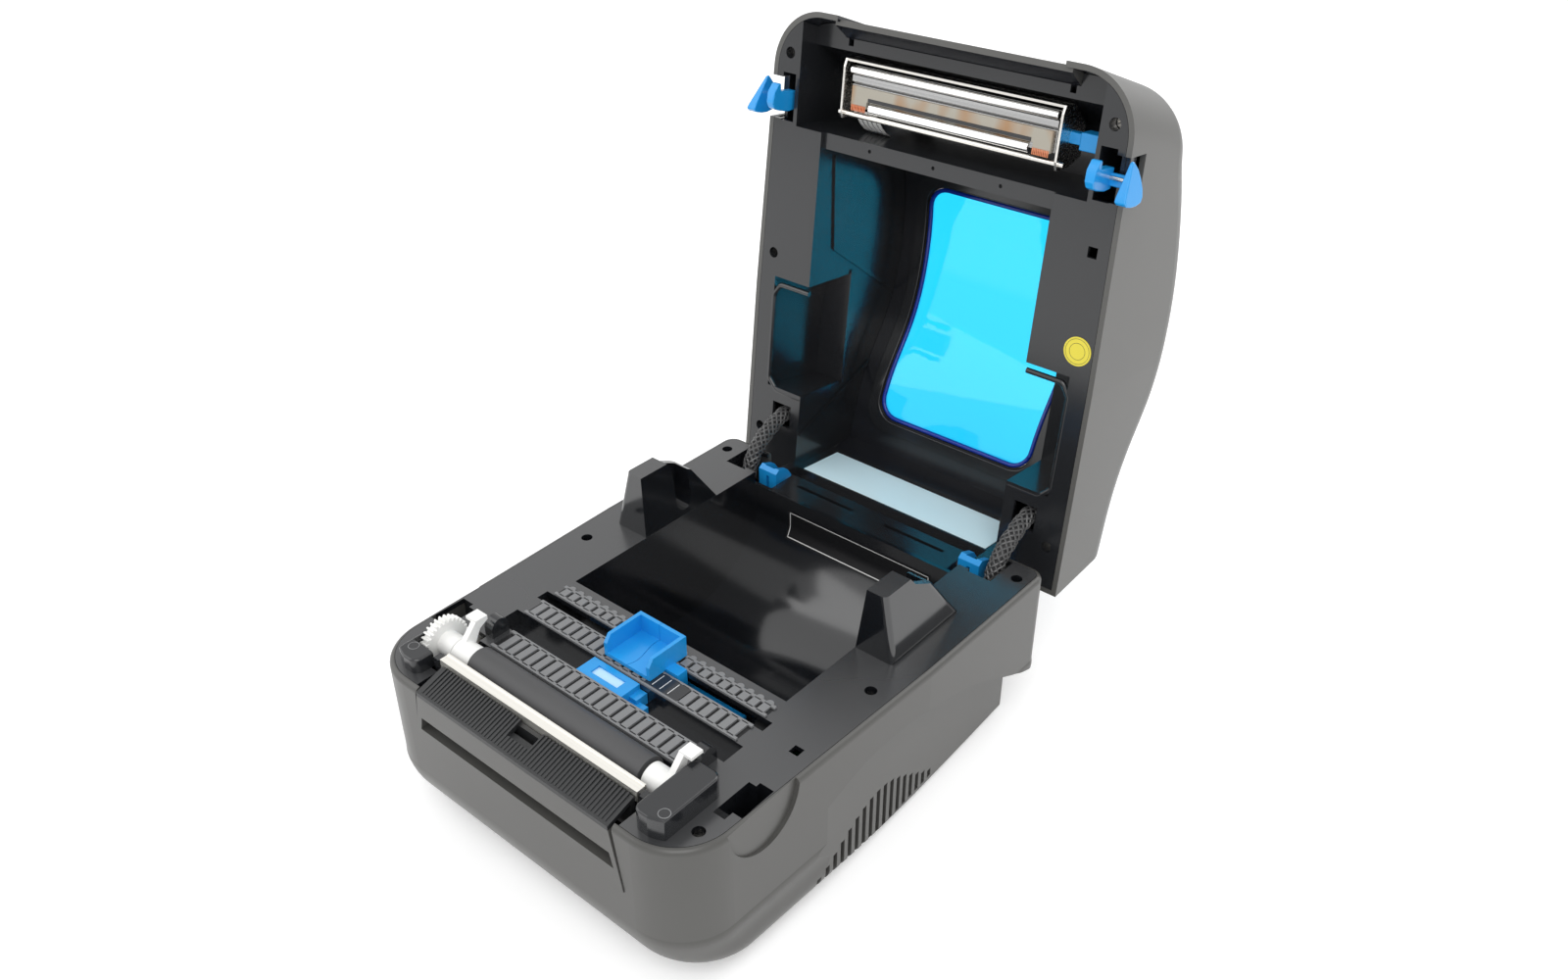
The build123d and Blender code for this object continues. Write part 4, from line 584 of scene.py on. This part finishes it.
def makeBedInsert():
    # black insert beside the sensor slider, with pale set-up lines
    insert = {"x": (12.5, 33.5), "y": (-62.2, -52.2), "top": 89.35, "depth": 1.0,
              "lines": (16.8, 21.6, 26.6), "lineWidth": 0.35, "lineHeight": 0.05, "margin": 1.0}
    (y0, y1), top = insert["y"], insert["top"]
    bm = bmesh.new()
    prism(bm, rectangle(*insert["x"], y0, y1), basePoint, top - insert["depth"], top)
    addPiece("bed_insert", bm, linerBlack, "base", 0.15)
    bm, margin = bmesh.new(), insert["margin"]
    for x in insert["lines"]:
        prism(bm, rectangle(x, x + insert["lineWidth"], y0 + margin, y1 - margin), basePoint,
              top, top + insert["lineHeight"])
    addPiece("bed_insert_marks", bm, lineWhite, "base")


makeBedPlates()
makeBedInsert()
print("paper bed made")


# print head


def makeHead():
    head = {
        "half": 61.5,
        "sink": [(195.0, 19.3), (195.0, 11.6), (205.9, 11.6), (206.2, 13.4), (206.9, 13.4), (207.2, 10.9),
                 (210.6, 10.9), (210.9, 12.4), (215.2, 12.4), (215.2, 19.3)],
        "bead": {"half": 61.5, "s": 213.2, "d": 10.7, "radius": 2.1},
        "strip": {"s": (198.4, 205.6), "tab": 194.8, "tabIn": 50.0, "half": 60.0, "d": (9.4, 11.6)},
        "nose": {"half": 48.0, "s": 195.4, "d": 10.9, "radius": 2.7},
        "line": {"half": 49.0, "s": (198.7, 200.6), "thick": 0.25}}
    bm = bmesh.new()
    prism(bm, head["sink"], acrossLid, -head["half"], head["half"])
    # the sink's body takes the darker aluminium: painted shade
    sink = addPiece("heat_sink_extrusion", bm, sinkShadedAluminium, "print_head", 0.35)
    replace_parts(sink, "heat_sink")

    strip = head["strip"]
    bm = bmesh.new()
    low, high = strip["s"]
    outline = [(-strip["half"], high), (strip["half"], high), (strip["half"], strip["tab"]),
               (strip["tabIn"], strip["tab"]), (strip["tabIn"], low), (-strip["tabIn"], low),
               (-strip["tabIn"], strip["tab"]), (-strip["half"], strip["tab"])]
    prism(bm, outline, lidPoint, *strip["d"])
    ceramic = addPiece("heating_strip_ceramic", bm, printCeramic, "print_head", 0.3)
    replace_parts(ceramic, "heating_strip")

    # a dark line low on the glazed strip, above the nose bar: painted shadow
    line = head["line"]
    bm = bmesh.new()
    prism(bm, rectangle(-line["half"], line["half"], *line["s"]), lidPoint,
          strip["d"][0] - line["thick"], strip["d"][0])
    addPiece("heating_strip_line", bm, linerBlack, "print_head", 0.1)

    # the nose and bead bars take the lighter aluminium: painted highlight
    for label in ("nose", "bead"):
        bar = head[label]
        bm = bmesh.new()
        ends = [lidPoint(x, bar["s"], bar["d"]) for x in (-bar["half"], bar["half"])]
        tubeAlong(bm, ends, bar["radius"] * mm, 24)
        addPiece("heat_sink_" + label, bm, sinkHighlight, "print_head", 0.3)


def makeContacts():
    # a comb of copper leads at each end of the strip
    comb = {"first": 50.6, "pitch": 0.95, "count": 10, "s": 194.5, "d": 9.3, "length": 3.2, "radius": 0.33}
    lean = lidAlong.to_track_quat("Z", "Y").to_euler()
    pieces = []
    for label, sign in (("left", -1), ("right", 1)):
        pieces.append(grow("head_leads_" + label, rodRow, {
            "Start": lidPoint(sign * comb["first"], comb["s"], comb["d"]),
            "Step": (sign * comb["pitch"] * mm, 0, 0), "Count": comb["count"],
            "Radius": comb["radius"] * mm, "Length": comb["length"] * mm,
            "Turn": lean, "Sides": 8}, padCopper, "print_head"))
    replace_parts(pieces[0], "head_contacts")


def makeFlatCable():
    # white ribbons from the left comb down into the lid
    ribbon = {"first": -59.4, "pitch": 3.1, "width": 2.5, "count": 5, "thick": 0.25, "fan": 0.12,
              "run": [(193.2, 11.6), (191.4, 12.9), (188.6, 14.8), (185.4, 17.2), (182.2, 20.8),
                      (180.2, 25.0)]}
    top = ribbon["run"][0][0]
    bm = bmesh.new()
    for k in range(ribbon["count"]):
        x0 = ribbon["first"] + k * ribbon["pitch"]
        for (s0, d0), (s1, d1) in zip(ribbon["run"], ribbon["run"][1:]):
            left0, left1 = x0 + (top - s0) * ribbon["fan"], x0 + (top - s1) * ribbon["fan"]
            corners = [(left0, s0, d0), (left0 + ribbon["width"], s0, d0),
                       (left1 + ribbon["width"], s1, d1), (left1, s1, d1)]
            bm.faces.new([bm.verts.new(lidPoint(*corner)) for corner in corners])
    bmesh.ops.remove_doubles(bm, verts=bm.verts, dist=1e-6)
    piece = addPiece("flat_cable_ribbons", bm, cableWhite, "lid")
    body = piece.modifiers.new("thickness", "SOLIDIFY")
    body.thickness = ribbon["thick"] * mm
    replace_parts(piece, "flat_cable")


def makeHolders():
    # the right holder stands clear of the bracket, the left one shows only as a tab beside it
    blocks = [{"x": (64.5, 71.5), "s": (200.0, 205.6), "d": (17.0, 22.0)},
              {"x": (71.5, 84.5), "s": (198.2, 206.8), "d": (15.2, 24.0)},
              {"x": (-70.0, -65.6), "s": (199.0, 206.0), "d": (15.4, 24.0)}]
    bm = bmesh.new()
    for block in blocks:
        prism(bm, rectangle(*block["x"], *block["s"]), lidPoint, *block["d"])
    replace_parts(addPiece("head_holder_blocks", bm, azure, "lid", 0.7), "head_holders")


makeHead()
makeContacts()
makeFlatCable()
makeHolders()
print("print head made")


# latches


def makeLatches():
    # hook inside, sail-shaped finger wing outside, thicker towards its lower end
    latch = {
        "wing": [(203.4, -1.6), (199.5, 2.2), (195.2, 4.2), (190.6, 5.2), (187.0, 4.8), (184.8, 2.8),
                 (183.9, -1.5), (184.0, -6.0), (184.9, -10.6), (186.4, -12.6), (188.6, -11.8), (203.0, -3.2)],
        "wingInner": 107.2, "wingThin": 1.4, "wingThick": 6.2, "wingTop": 203.4, "wingLow": 185.0,
        "hook": [(197.6, 3.6), (198.6, -9.0), (202.6, -9.4), (202.6, -11.4), (198.4, -14.6), (193.0, -15.2),
                 (190.0, -13.6), (188.7, -10.6), (188.1, -8.0), (187.0, -2.0), (187.4, 3.6)],
        "hookInner": 92.2, "hookOuter": 97.2, "hookTaper": 0.06, "taperFrom": 196.0, "taperOuter": 0.4,
        "bridge": {"x": (96.5, 107.8), "s": (189.4, 195.4), "d": (0.8, 3.1)},
        "pin": {"s": 193.4, "d": 0.7, "radius": 0.95, "into": 1.0},
        "block": {"x": (99.2, 103.2), "s": (187.5, 203.0), "d": (5.8, 12.0)}}
    bridge, pin, block = latch["bridge"], latch["pin"], latch["block"]
    for label, sign in (("left", -1), ("right", 1)):
        bm = bmesh.new()
        thin, thick = latch["wingThin"], latch["wingThick"]
        reach = latch["wingTop"] - latch["wingLow"]

        def wingSide(s, d, outer):
            grown = thin + (thick - thin) * min(max((latch["wingTop"] - s) / reach, 0), 1)
            return lidPoint(sign * (latch["wingInner"] + outer * grown), s, d)

        def hookSide(s, d, outer):
            narrow = max(latch["taperFrom"] - s, 0) * latch["hookTaper"]
            inner, far = latch["hookInner"] + narrow, latch["hookOuter"] - narrow * latch["taperOuter"]
            return lidPoint(sign * (far if outer else inner), s, d)

        prism(bm, latch["wing"], wingSide, 0, 1)
        prism(bm, latch["hook"], hookSide, 0, 1)
        prism(bm, rectangle(*bridge["s"], *bridge["d"]), acrossLid, *(sign * x for x in bridge["x"]))
        piece = addPiece("latch_" + label + "_lever", bm, azure, "latch_" + label, 0.9, 4)
        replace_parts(piece, "latch_" + label)
        bm = bmesh.new()
        ends = [lidPoint(sign * x, pin["s"], pin["d"])
                for x in (latch["hookOuter"] - pin["into"], latch["wingInner"] + pin["into"])]
        tubeAlong(bm, ends, pin["radius"] * mm, 16)
        addPiece("latch_" + label + "_bar", bm, platedSteel, "latch_" + label, 0.1)
        bm = bmesh.new()
        prism(bm, rectangle(*(sign * x for x in block["x"]), *block["s"]), lidPoint, *block["d"])
        addPiece("latch_" + label + "_seat", bm, linerBlack, "lid", 0.5)


makeLatches()
print("latches made")


# braided sleeves


def makeBraid():
    # strands laid one way round a path, their radius waving so that two lays cross over and under
    tree, given, result = newGroup(
        "braided sleeve",
        [("Path", "Object", None), ("Strands", "Int", 16), ("Turns", "Float", 3.0),
         ("Radius", "Float", 0.0044), ("Weave", "Float", 0.00025), ("Strand Radius", "Float", 0.0005),
         ("Lay", "Float", 1.0), ("Material", "Material", None)],
        [("Geometry", "Geometry")], "GeometryNodeTree")
    path = addNode(tree, "GeometryNodeObjectInfo", {"Object": given["Path"]})
    line = addNode(tree, "GeometryNodeCurvePrimitiveLine", {"Start": (0, 0, 0), "End": (1, 0, 0)})
    fine = addNode(tree, "GeometryNodeResampleCurve", {"Curve": line.outputs["Curve"], "Count": 110})
    many = addNode(tree, "GeometryNodeDuplicateElements", {
        "Geometry": fine.outputs["Curve"], "Amount": given["Strands"]}, domain="SPLINE")
    number = many.outputs["Duplicate Index"]
    position = addNode(tree, "GeometryNodeInputPosition").outputs[0]
    along = addNode(tree, "ShaderNodeSeparateXYZ", {0: position}).outputs[0]
    share = mathNode(tree, "DIVIDE", number, given["Strands"])
    phase = mathNode(tree, "MULTIPLY", share, 2 * math.pi)
    gone = mathNode(tree, "MULTIPLY", along, given["Turns"])
    wound = mathNode(tree, "MULTIPLY", gone, 2 * math.pi)
    turned = mathNode(tree, "MULTIPLY", wound, given["Lay"])
    angle = mathNode(tree, "ADD", phase, turned)
    crossings = mathNode(tree, "MULTIPLY", gone, mathNode(tree, "MULTIPLY", given["Strands"], 2 * math.pi))
    swell = mathNode(tree, "ADD", crossings, mathNode(tree, "MULTIPLY", number, math.pi))
    weave = mathNode(tree, "MULTIPLY", given["Weave"], given["Lay"])
    wave = mathNode(tree, "MULTIPLY", mathNode(tree, "SINE", swell), weave)
    radius = mathNode(tree, "ADD", given["Radius"], wave)
    sample = addNode(tree, "GeometryNodeSampleCurve", {
        "Curves": path.outputs["Geometry"], "Factor": along}, mode="FACTOR", use_all_curves=True)
    tangent, normal = sample.outputs["Tangent"], sample.outputs["Normal"]
    side = vectorNode(tree, "CROSS_PRODUCT", tangent, normal)
    outward = vectorNode(
        tree, "ADD", scaled(tree, normal, mathNode(tree, "COSINE", angle)),
        scaled(tree, side, mathNode(tree, "SINE", angle)))
    spot = vectorNode(tree, "ADD", sample.outputs["Position"], scaled(tree, outward, radius))
    moved = addNode(tree, "GeometryNodeSetPosition", {"Geometry": many.outputs["Geometry"], "Position": spot})
    ring = addNode(tree, "GeometryNodeCurvePrimitiveCircle", {
        "Resolution": 6, "Radius": given["Strand Radius"]})
    strands = addNode(tree, "GeometryNodeCurveToMesh", {
        "Curve": moved.outputs["Geometry"], "Profile Curve": ring.outputs["Curve"], "Fill Caps": True})
    return closeTree(tree, strands.outputs["Mesh"], given, result)


def makeSleeves():
    # from the slot in the deck up into the slot in the lid; the path's ends are placed in the base and in the
    # lid as it stands open
    sleeve = {"x": 84.5, "base": [(117.5, 66.3), (119.0, 86.5)], "lid": [(9.8, -3), (11, 8)],
              "radius": 3.95, "weave": 0.3, "strand": 0.62, "strands": 7, "turns": 2.2, "core": 3.8,
              "width": 9.8}
    braid = makeBraid()
    for label, sign in (("left", -1), ("right", 1)):
        x = sign * sleeve["x"]
        route = [basePoint(x, y, z) for y, z in sleeve["base"]]
        route += [lidPoint(x, s, d) for s, d in sleeve["lid"]]
        curve = bpy.data.curves.new("sleeve path " + label, "CURVE")
        curve.dimensions = "3D"
        curve.resolution_u = 24
        spline = curve.splines.new("NURBS")
        spline.points.add(len(route) - 1)
        for point, place in zip(spline.points, route):
            point.co = (*place, 1)
        spline.order_u = 3
        spline.use_endpoint_u = True
        holder = bpy.data.objects.new("sleeve path " + label, curve)
        bpy.context.scene.collection.objects.link(holder)
        bpy.context.view_layer.update()
        depsgraph = bpy.context.evaluated_depsgraph_get()
        line = bpy.data.meshes.new_from_object(holder.evaluated_get(depsgraph))
        points = [vertex.co.copy() for vertex in line.vertices]
        made = []
        for lay, way in (("over", 1.0), ("under", -1.0)):
            made.append(grow("wire_sleeve_" + label + "_" + lay, braid, {
                "Path": holder, "Strands": sleeve["strands"], "Turns": sleeve["turns"], "Lay": way,
                "Radius": sleeve["radius"] * mm, "Weave": sleeve["weave"] * mm,
                "Strand Radius": sleeve["strand"] * mm}, braidGrey, None))
        bm = bmesh.new()
        tubeAlong(bm, points, sleeve["core"] * mm, 20)
        made.append(addPiece("wire_sleeve_" + label + "_core", bm, braidBlack, None))
        bpy.data.objects.remove(holder)
        for piece in made:
            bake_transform(piece)
        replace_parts(made[0], "wire_sleeve_" + label)


makeSleeves()
print("sleeves made")


# lid trim


def roundedBox(x0, x1, s0, s1, radius, steps=8):
    # an even walk round a rectangle with round corners
    outline = []
    left, right, low, high = x0 + radius, x1 - radius, s0 + radius, s1 - radius
    for quarter, (x, s) in enumerate(((right, high), (left, high), (left, low), (right, low))):
        for k in range(steps + 1):
            t = (quarter + k / steps) * math.pi / 2
            outline.append((x + radius * math.cos(t), s + radius * math.sin(t)))
    return outline


def filled(outline, gap):
    # adds points where two neighbours lie further apart than the gap
    walk = []
    for (a, b), (c, d) in zip(outline, outline[1:] + outline[:1]):
        count = max(1, int(math.dist((a, b), (c, d)) / gap))
        walk += [(a + (c - a) * k / count, b + (d - b) * k / count) for k in range(count)]
    return walk


def makeWindowFrame():
    # raised frame of the window and a dark blue tube at the pane's edge, laid by rays on the inside of the
    # lid's top; the tube is painted shade for the deep blue where light runs out at the edge
    ring = {"half": 53.0, "s": (4.0, 143.0), "corner": 13.0, "gap": 0.9, "width": 8.0, "proud": 1.6,
            "sunk": -0.3, "step": 3.0, "edgeInset": 1.2, "edgeRadius": 1.3, "rayFrom": 30, "rayLength": 0.1}
    depsgraph = bpy.context.evaluated_depsgraph_get()
    (s0, s1), half, corner = ring["s"], ring["half"], ring["corner"]
    gap, inset = ring["gap"], ring["edgeInset"]

    def laid(name, spots):
        behind = BVHTree.FromObject(nodes[name], depsgraph)
        starts = [lidPoint(x, s, ring["rayFrom"]) for x, s in spots]
        return [behind.ray_cast(start, lidDeep, ring["rayLength"])[0] for start in starts]

    inner = filled(roundedBox(-half - gap, half + gap, s0 - gap, s1 + gap, corner), ring["step"])
    middle = (s0 + s1) / 2
    grownX = (half + ring["width"]) / (half + gap)
    grownS = ((s1 - s0) / 2 + ring["width"]) / ((s1 - s0) / 2 + gap)
    outer = [(x * grownX, middle + (s - middle) * grownS) for x, s in inner]
    near, far = laid("lid_shell", inner), laid("lid_shell", outer)
    if None in near + far:
        print("window frame: no shell behind it, so it is left out")
        return
    bm = bmesh.new()
    sunk, proud = ring["sunk"], ring["proud"]
    rows = [[bm.verts.new(point - lidDeep * lift * mm) for point in loop]
            for loop, lift in ((near, sunk), (near, proud), (far, proud), (far, sunk))]
    for here, there in zip(rows, rows[1:] + rows[:1]):
        for k in range(len(inner)):
            n = (k + 1) % len(inner)
            bm.faces.new((here[k], here[n], there[n], there[k]))
    addPiece("lid_window_frame", bm, linerBlack, "lid", 0.5)
    edge = roundedBox(-half + inset, half - inset, s0 + inset, s1 - inset, corner - inset)
    points = laid("lid_window", filled(edge, ring["step"]))
    if None in points:
        print("window edge: no pane behind it, so it is left out")
        return
    # this tube is painted shade: the deep blue where light runs out at the pane's edge
    bm = bmesh.new()
    tubeAlong(bm, points, ring["edgeRadius"] * mm, 12, True)
    addPiece("lid_window_edge", bm, edgeBlue, "lid")


def makePocketRims():
    # rolled lips round the hub pockets in the lid's frame
    rim = {"outline": [(71.0, 24.6), (89.6, 24.6), (95.8, 30.9), (96.2, 83.0), (91.7, 89.5), (71.0, 89.5)],
           "radius": 1.5, "d": 1.35, "corner": 3.2}
    outline = rim["outline"]
    for index in (4, 3, 2, 1):
        outline = roundedCorner(outline, index, rim["corner"])
    for label, sign in (("left", -1), ("right", 1)):
        bm = bmesh.new()
        tubeAlong(bm, [lidPoint(sign * x, s, rim["d"]) for x, s in outline], rim["radius"] * mm, 12)
        addPiece("hub_pocket_rim_" + label, bm, linerBlack, "lid")


makeWindowFrame()
makePocketRims()
print("lid trim made")


# marks and plates


def makeStrip():
    # the bare strip on the well's rear wall, laid on the wall by rays from inside the well
    strip = {"x": (-46.0, 53.0), "z": (53.5, 71.5), "rayFrom": 60.0, "rayLength": 0.09, "steps": (24, 12),
             "lift": 0.15, "line": 0.5, "lineLift": 0.22, "inset": 1.1}
    wall = BVHTree.FromObject(nodes["deck"], bpy.context.evaluated_depsgraph_get())
    backwards = Vector((0, 1, 0))

    def layPatch(bm, x0, x1, z0, z1, lift):
        across, up = strip["steps"]
        rows = []
        for j in range(up + 1):
            z = z0 + (z1 - z0) * j / up
            row = []
            for i in range(across + 1):
                start = basePoint(x0 + (x1 - x0) * i / across, strip["rayFrom"], z)
                hit, normal = wall.ray_cast(start, backwards, strip["rayLength"])[:2]
                row.append(bm.verts.new(hit + normal * lift * mm))
            rows.append(row)
        for low, high in zip(rows, rows[1:]):
            for i in range(across):
                bm.faces.new((low[i], low[i + 1], high[i + 1], high[i]))

    (x0, x1), (z0, z1) = strip["x"], strip["z"]
    bm = bmesh.new()
    layPatch(bm, x0, x1, z0, z1, strip["lift"])
    addPiece("blank_strip", bm, stripBlack, "base")
    bm = bmesh.new()
    inset, line = strip["inset"], strip["line"]
    a0, a1, b0, b1 = x0 + inset, x1 - inset, z0 + inset, z1 - inset
    for side in ((a0, a1, b0, b0 + line), (a0, a1, b1 - line, b1),
                 (a0, a0 + line, b0, b1), (a1 - line, a1, b0, b1)):
        layPatch(bm, *side, strip["lineLift"])
    addPiece("blank_strip_outline", bm, lineWhite, "base")


def makeRings():
    # plain round marks: one on each platen cover, two on the sticker
    cover = {"right": (84.4, -120.6, 99.2), "left": (-82.0, -119.0, 96.0), "radius": 2.6, "thick": 0.22}
    for label in ("right", "left"):
        x, y, z = cover[label]
        bm = bmesh.new()
        points = [basePoint(a, b, z) for a, b in circle(x, y, cover["radius"], 32)]
        tubeAlong(bm, points, cover["thick"] * mm, 6, True)
        addPiece("ring_cover_" + label, bm, bedGrey, "base")
    sticker = {"x": 97.0, "s": 108.0, "d": -0.27, "radii": (6.4, 4.2), "thick": 0.1}
    bm = bmesh.new()
    for radius in sticker["radii"]:
        points = [lidPoint(x, s, sticker["d"]) for x, s in circle(sticker["x"], sticker["s"], radius, 40)]
        tubeAlong(bm, points, sticker["thick"] * mm, 4, True)
    addPiece("sticker_rings", bm, lineBlack, "lid")


makeStrip()
makeRings()
print("marks made")


# stage


studio = {"floorSize": 8.0, "floorColour": (0.9, 0.9, 0.9, 1), "floorRoughness": 0.9, "floorGlow": 0.22,
          "worldLight": 0.8, "aim": (0, 0, 0.1),
          "key": {"place": (0.9, -1.1, 1.7), "size": 1.3, "watts": 16.0},
          "fill": {"place": (-1.4, -0.9, 1.2), "size": 1.6, "watts": 10.0},
          "rear": {"place": (0.5, 1.6, 1.5), "size": 1.6, "watts": 16.0}}


def makeFloor():
    bpy.ops.mesh.primitive_plane_add(size=studio["floorSize"], location=(0, 0, 0))
    floor = bpy.context.object
    floor.name = "floor"
    material, tree, shader = newMaterial("pale floor")
    feed(tree, shader, {
        "Base Color": studio["floorColour"], "Roughness": studio["floorRoughness"],
        "Emission Color": (1, 1, 1, 1), "Emission Strength": studio["floorGlow"]})
    floor.data.materials.append(material)


def makeWorld():
    world = bpy.data.worlds.new("studio white")
    world.use_nodes = True
    bpy.context.scene.world = world
    tree = world.node_tree
    tree.nodes.clear()
    path = addNode(tree, "ShaderNodeLightPath")
    seen = mathNode(tree, "MAXIMUM", path.outputs["Is Camera Ray"], path.outputs["Is Glossy Ray"])
    through = mathNode(tree, "MAXIMUM", seen, path.outputs["Is Transmission Ray"])
    level = addNode(tree, "ShaderNodeMapRange", {
        "Value": through, "To Min": studio["worldLight"], "To Max": 1.0})
    light = addNode(tree, "ShaderNodeBackground", {
        "Color": (1, 1, 1, 1), "Strength": level.outputs["Result"]})
    out = addNode(tree, "ShaderNodeOutputWorld")
    tree.links.new(light.outputs[0], out.inputs["Surface"])


def makeLamp(name, place, size, watts):
    lamp = bpy.data.lights.new(name, "AREA")
    lamp.shape = "SQUARE"
    lamp.size = size
    lamp.energy = watts
    holder = bpy.data.objects.new(name, lamp)
    bpy.context.scene.collection.objects.link(holder)
    holder.location = place
    aim = Vector(studio["aim"]) - Vector(place)
    holder.rotation_euler = aim.to_track_quat("-Z", "Y").to_euler()


def makeCamera():
    # the camera that was fitted to the photo
    shot = {"x": 0.36616, "behindHinge": -0.50623, "z": 0.49453, "right": (0.76187, 0.64773, -0.0021),
            "forward": (-0.54612, 0.64060, -0.53981), "lens": 30.655, "sensor": 36.0}
    lens = bpy.data.cameras.new("photo camera")
    lens.lens = shot["lens"]
    lens.sensor_width = shot["sensor"]
    camera = bpy.data.objects.new("photo camera", lens)
    bpy.context.scene.collection.objects.link(camera)
    right = Vector(shot["right"]).normalized()
    forward = Vector(shot["forward"]).normalized()
    up = right.cross(forward).normalized()
    right = forward.cross(up)
    turn = Matrix((right, up, -forward)).transposed()
    place = Vector((shot["x"], hingeLine.y + shot["behindHinge"], shot["z"]))
    camera.matrix_world = Matrix.Translation(place) @ turn.to_4x4()
    bpy.context.scene.camera = camera


makeFloor()
makeWorld()
for lampName in ("key", "fill", "rear"):
    makeLamp(lampName + " softbox", **studio[lampName])
makeCamera()
bpy.context.scene.view_settings.view_transform = "Standard"
print("stage set")
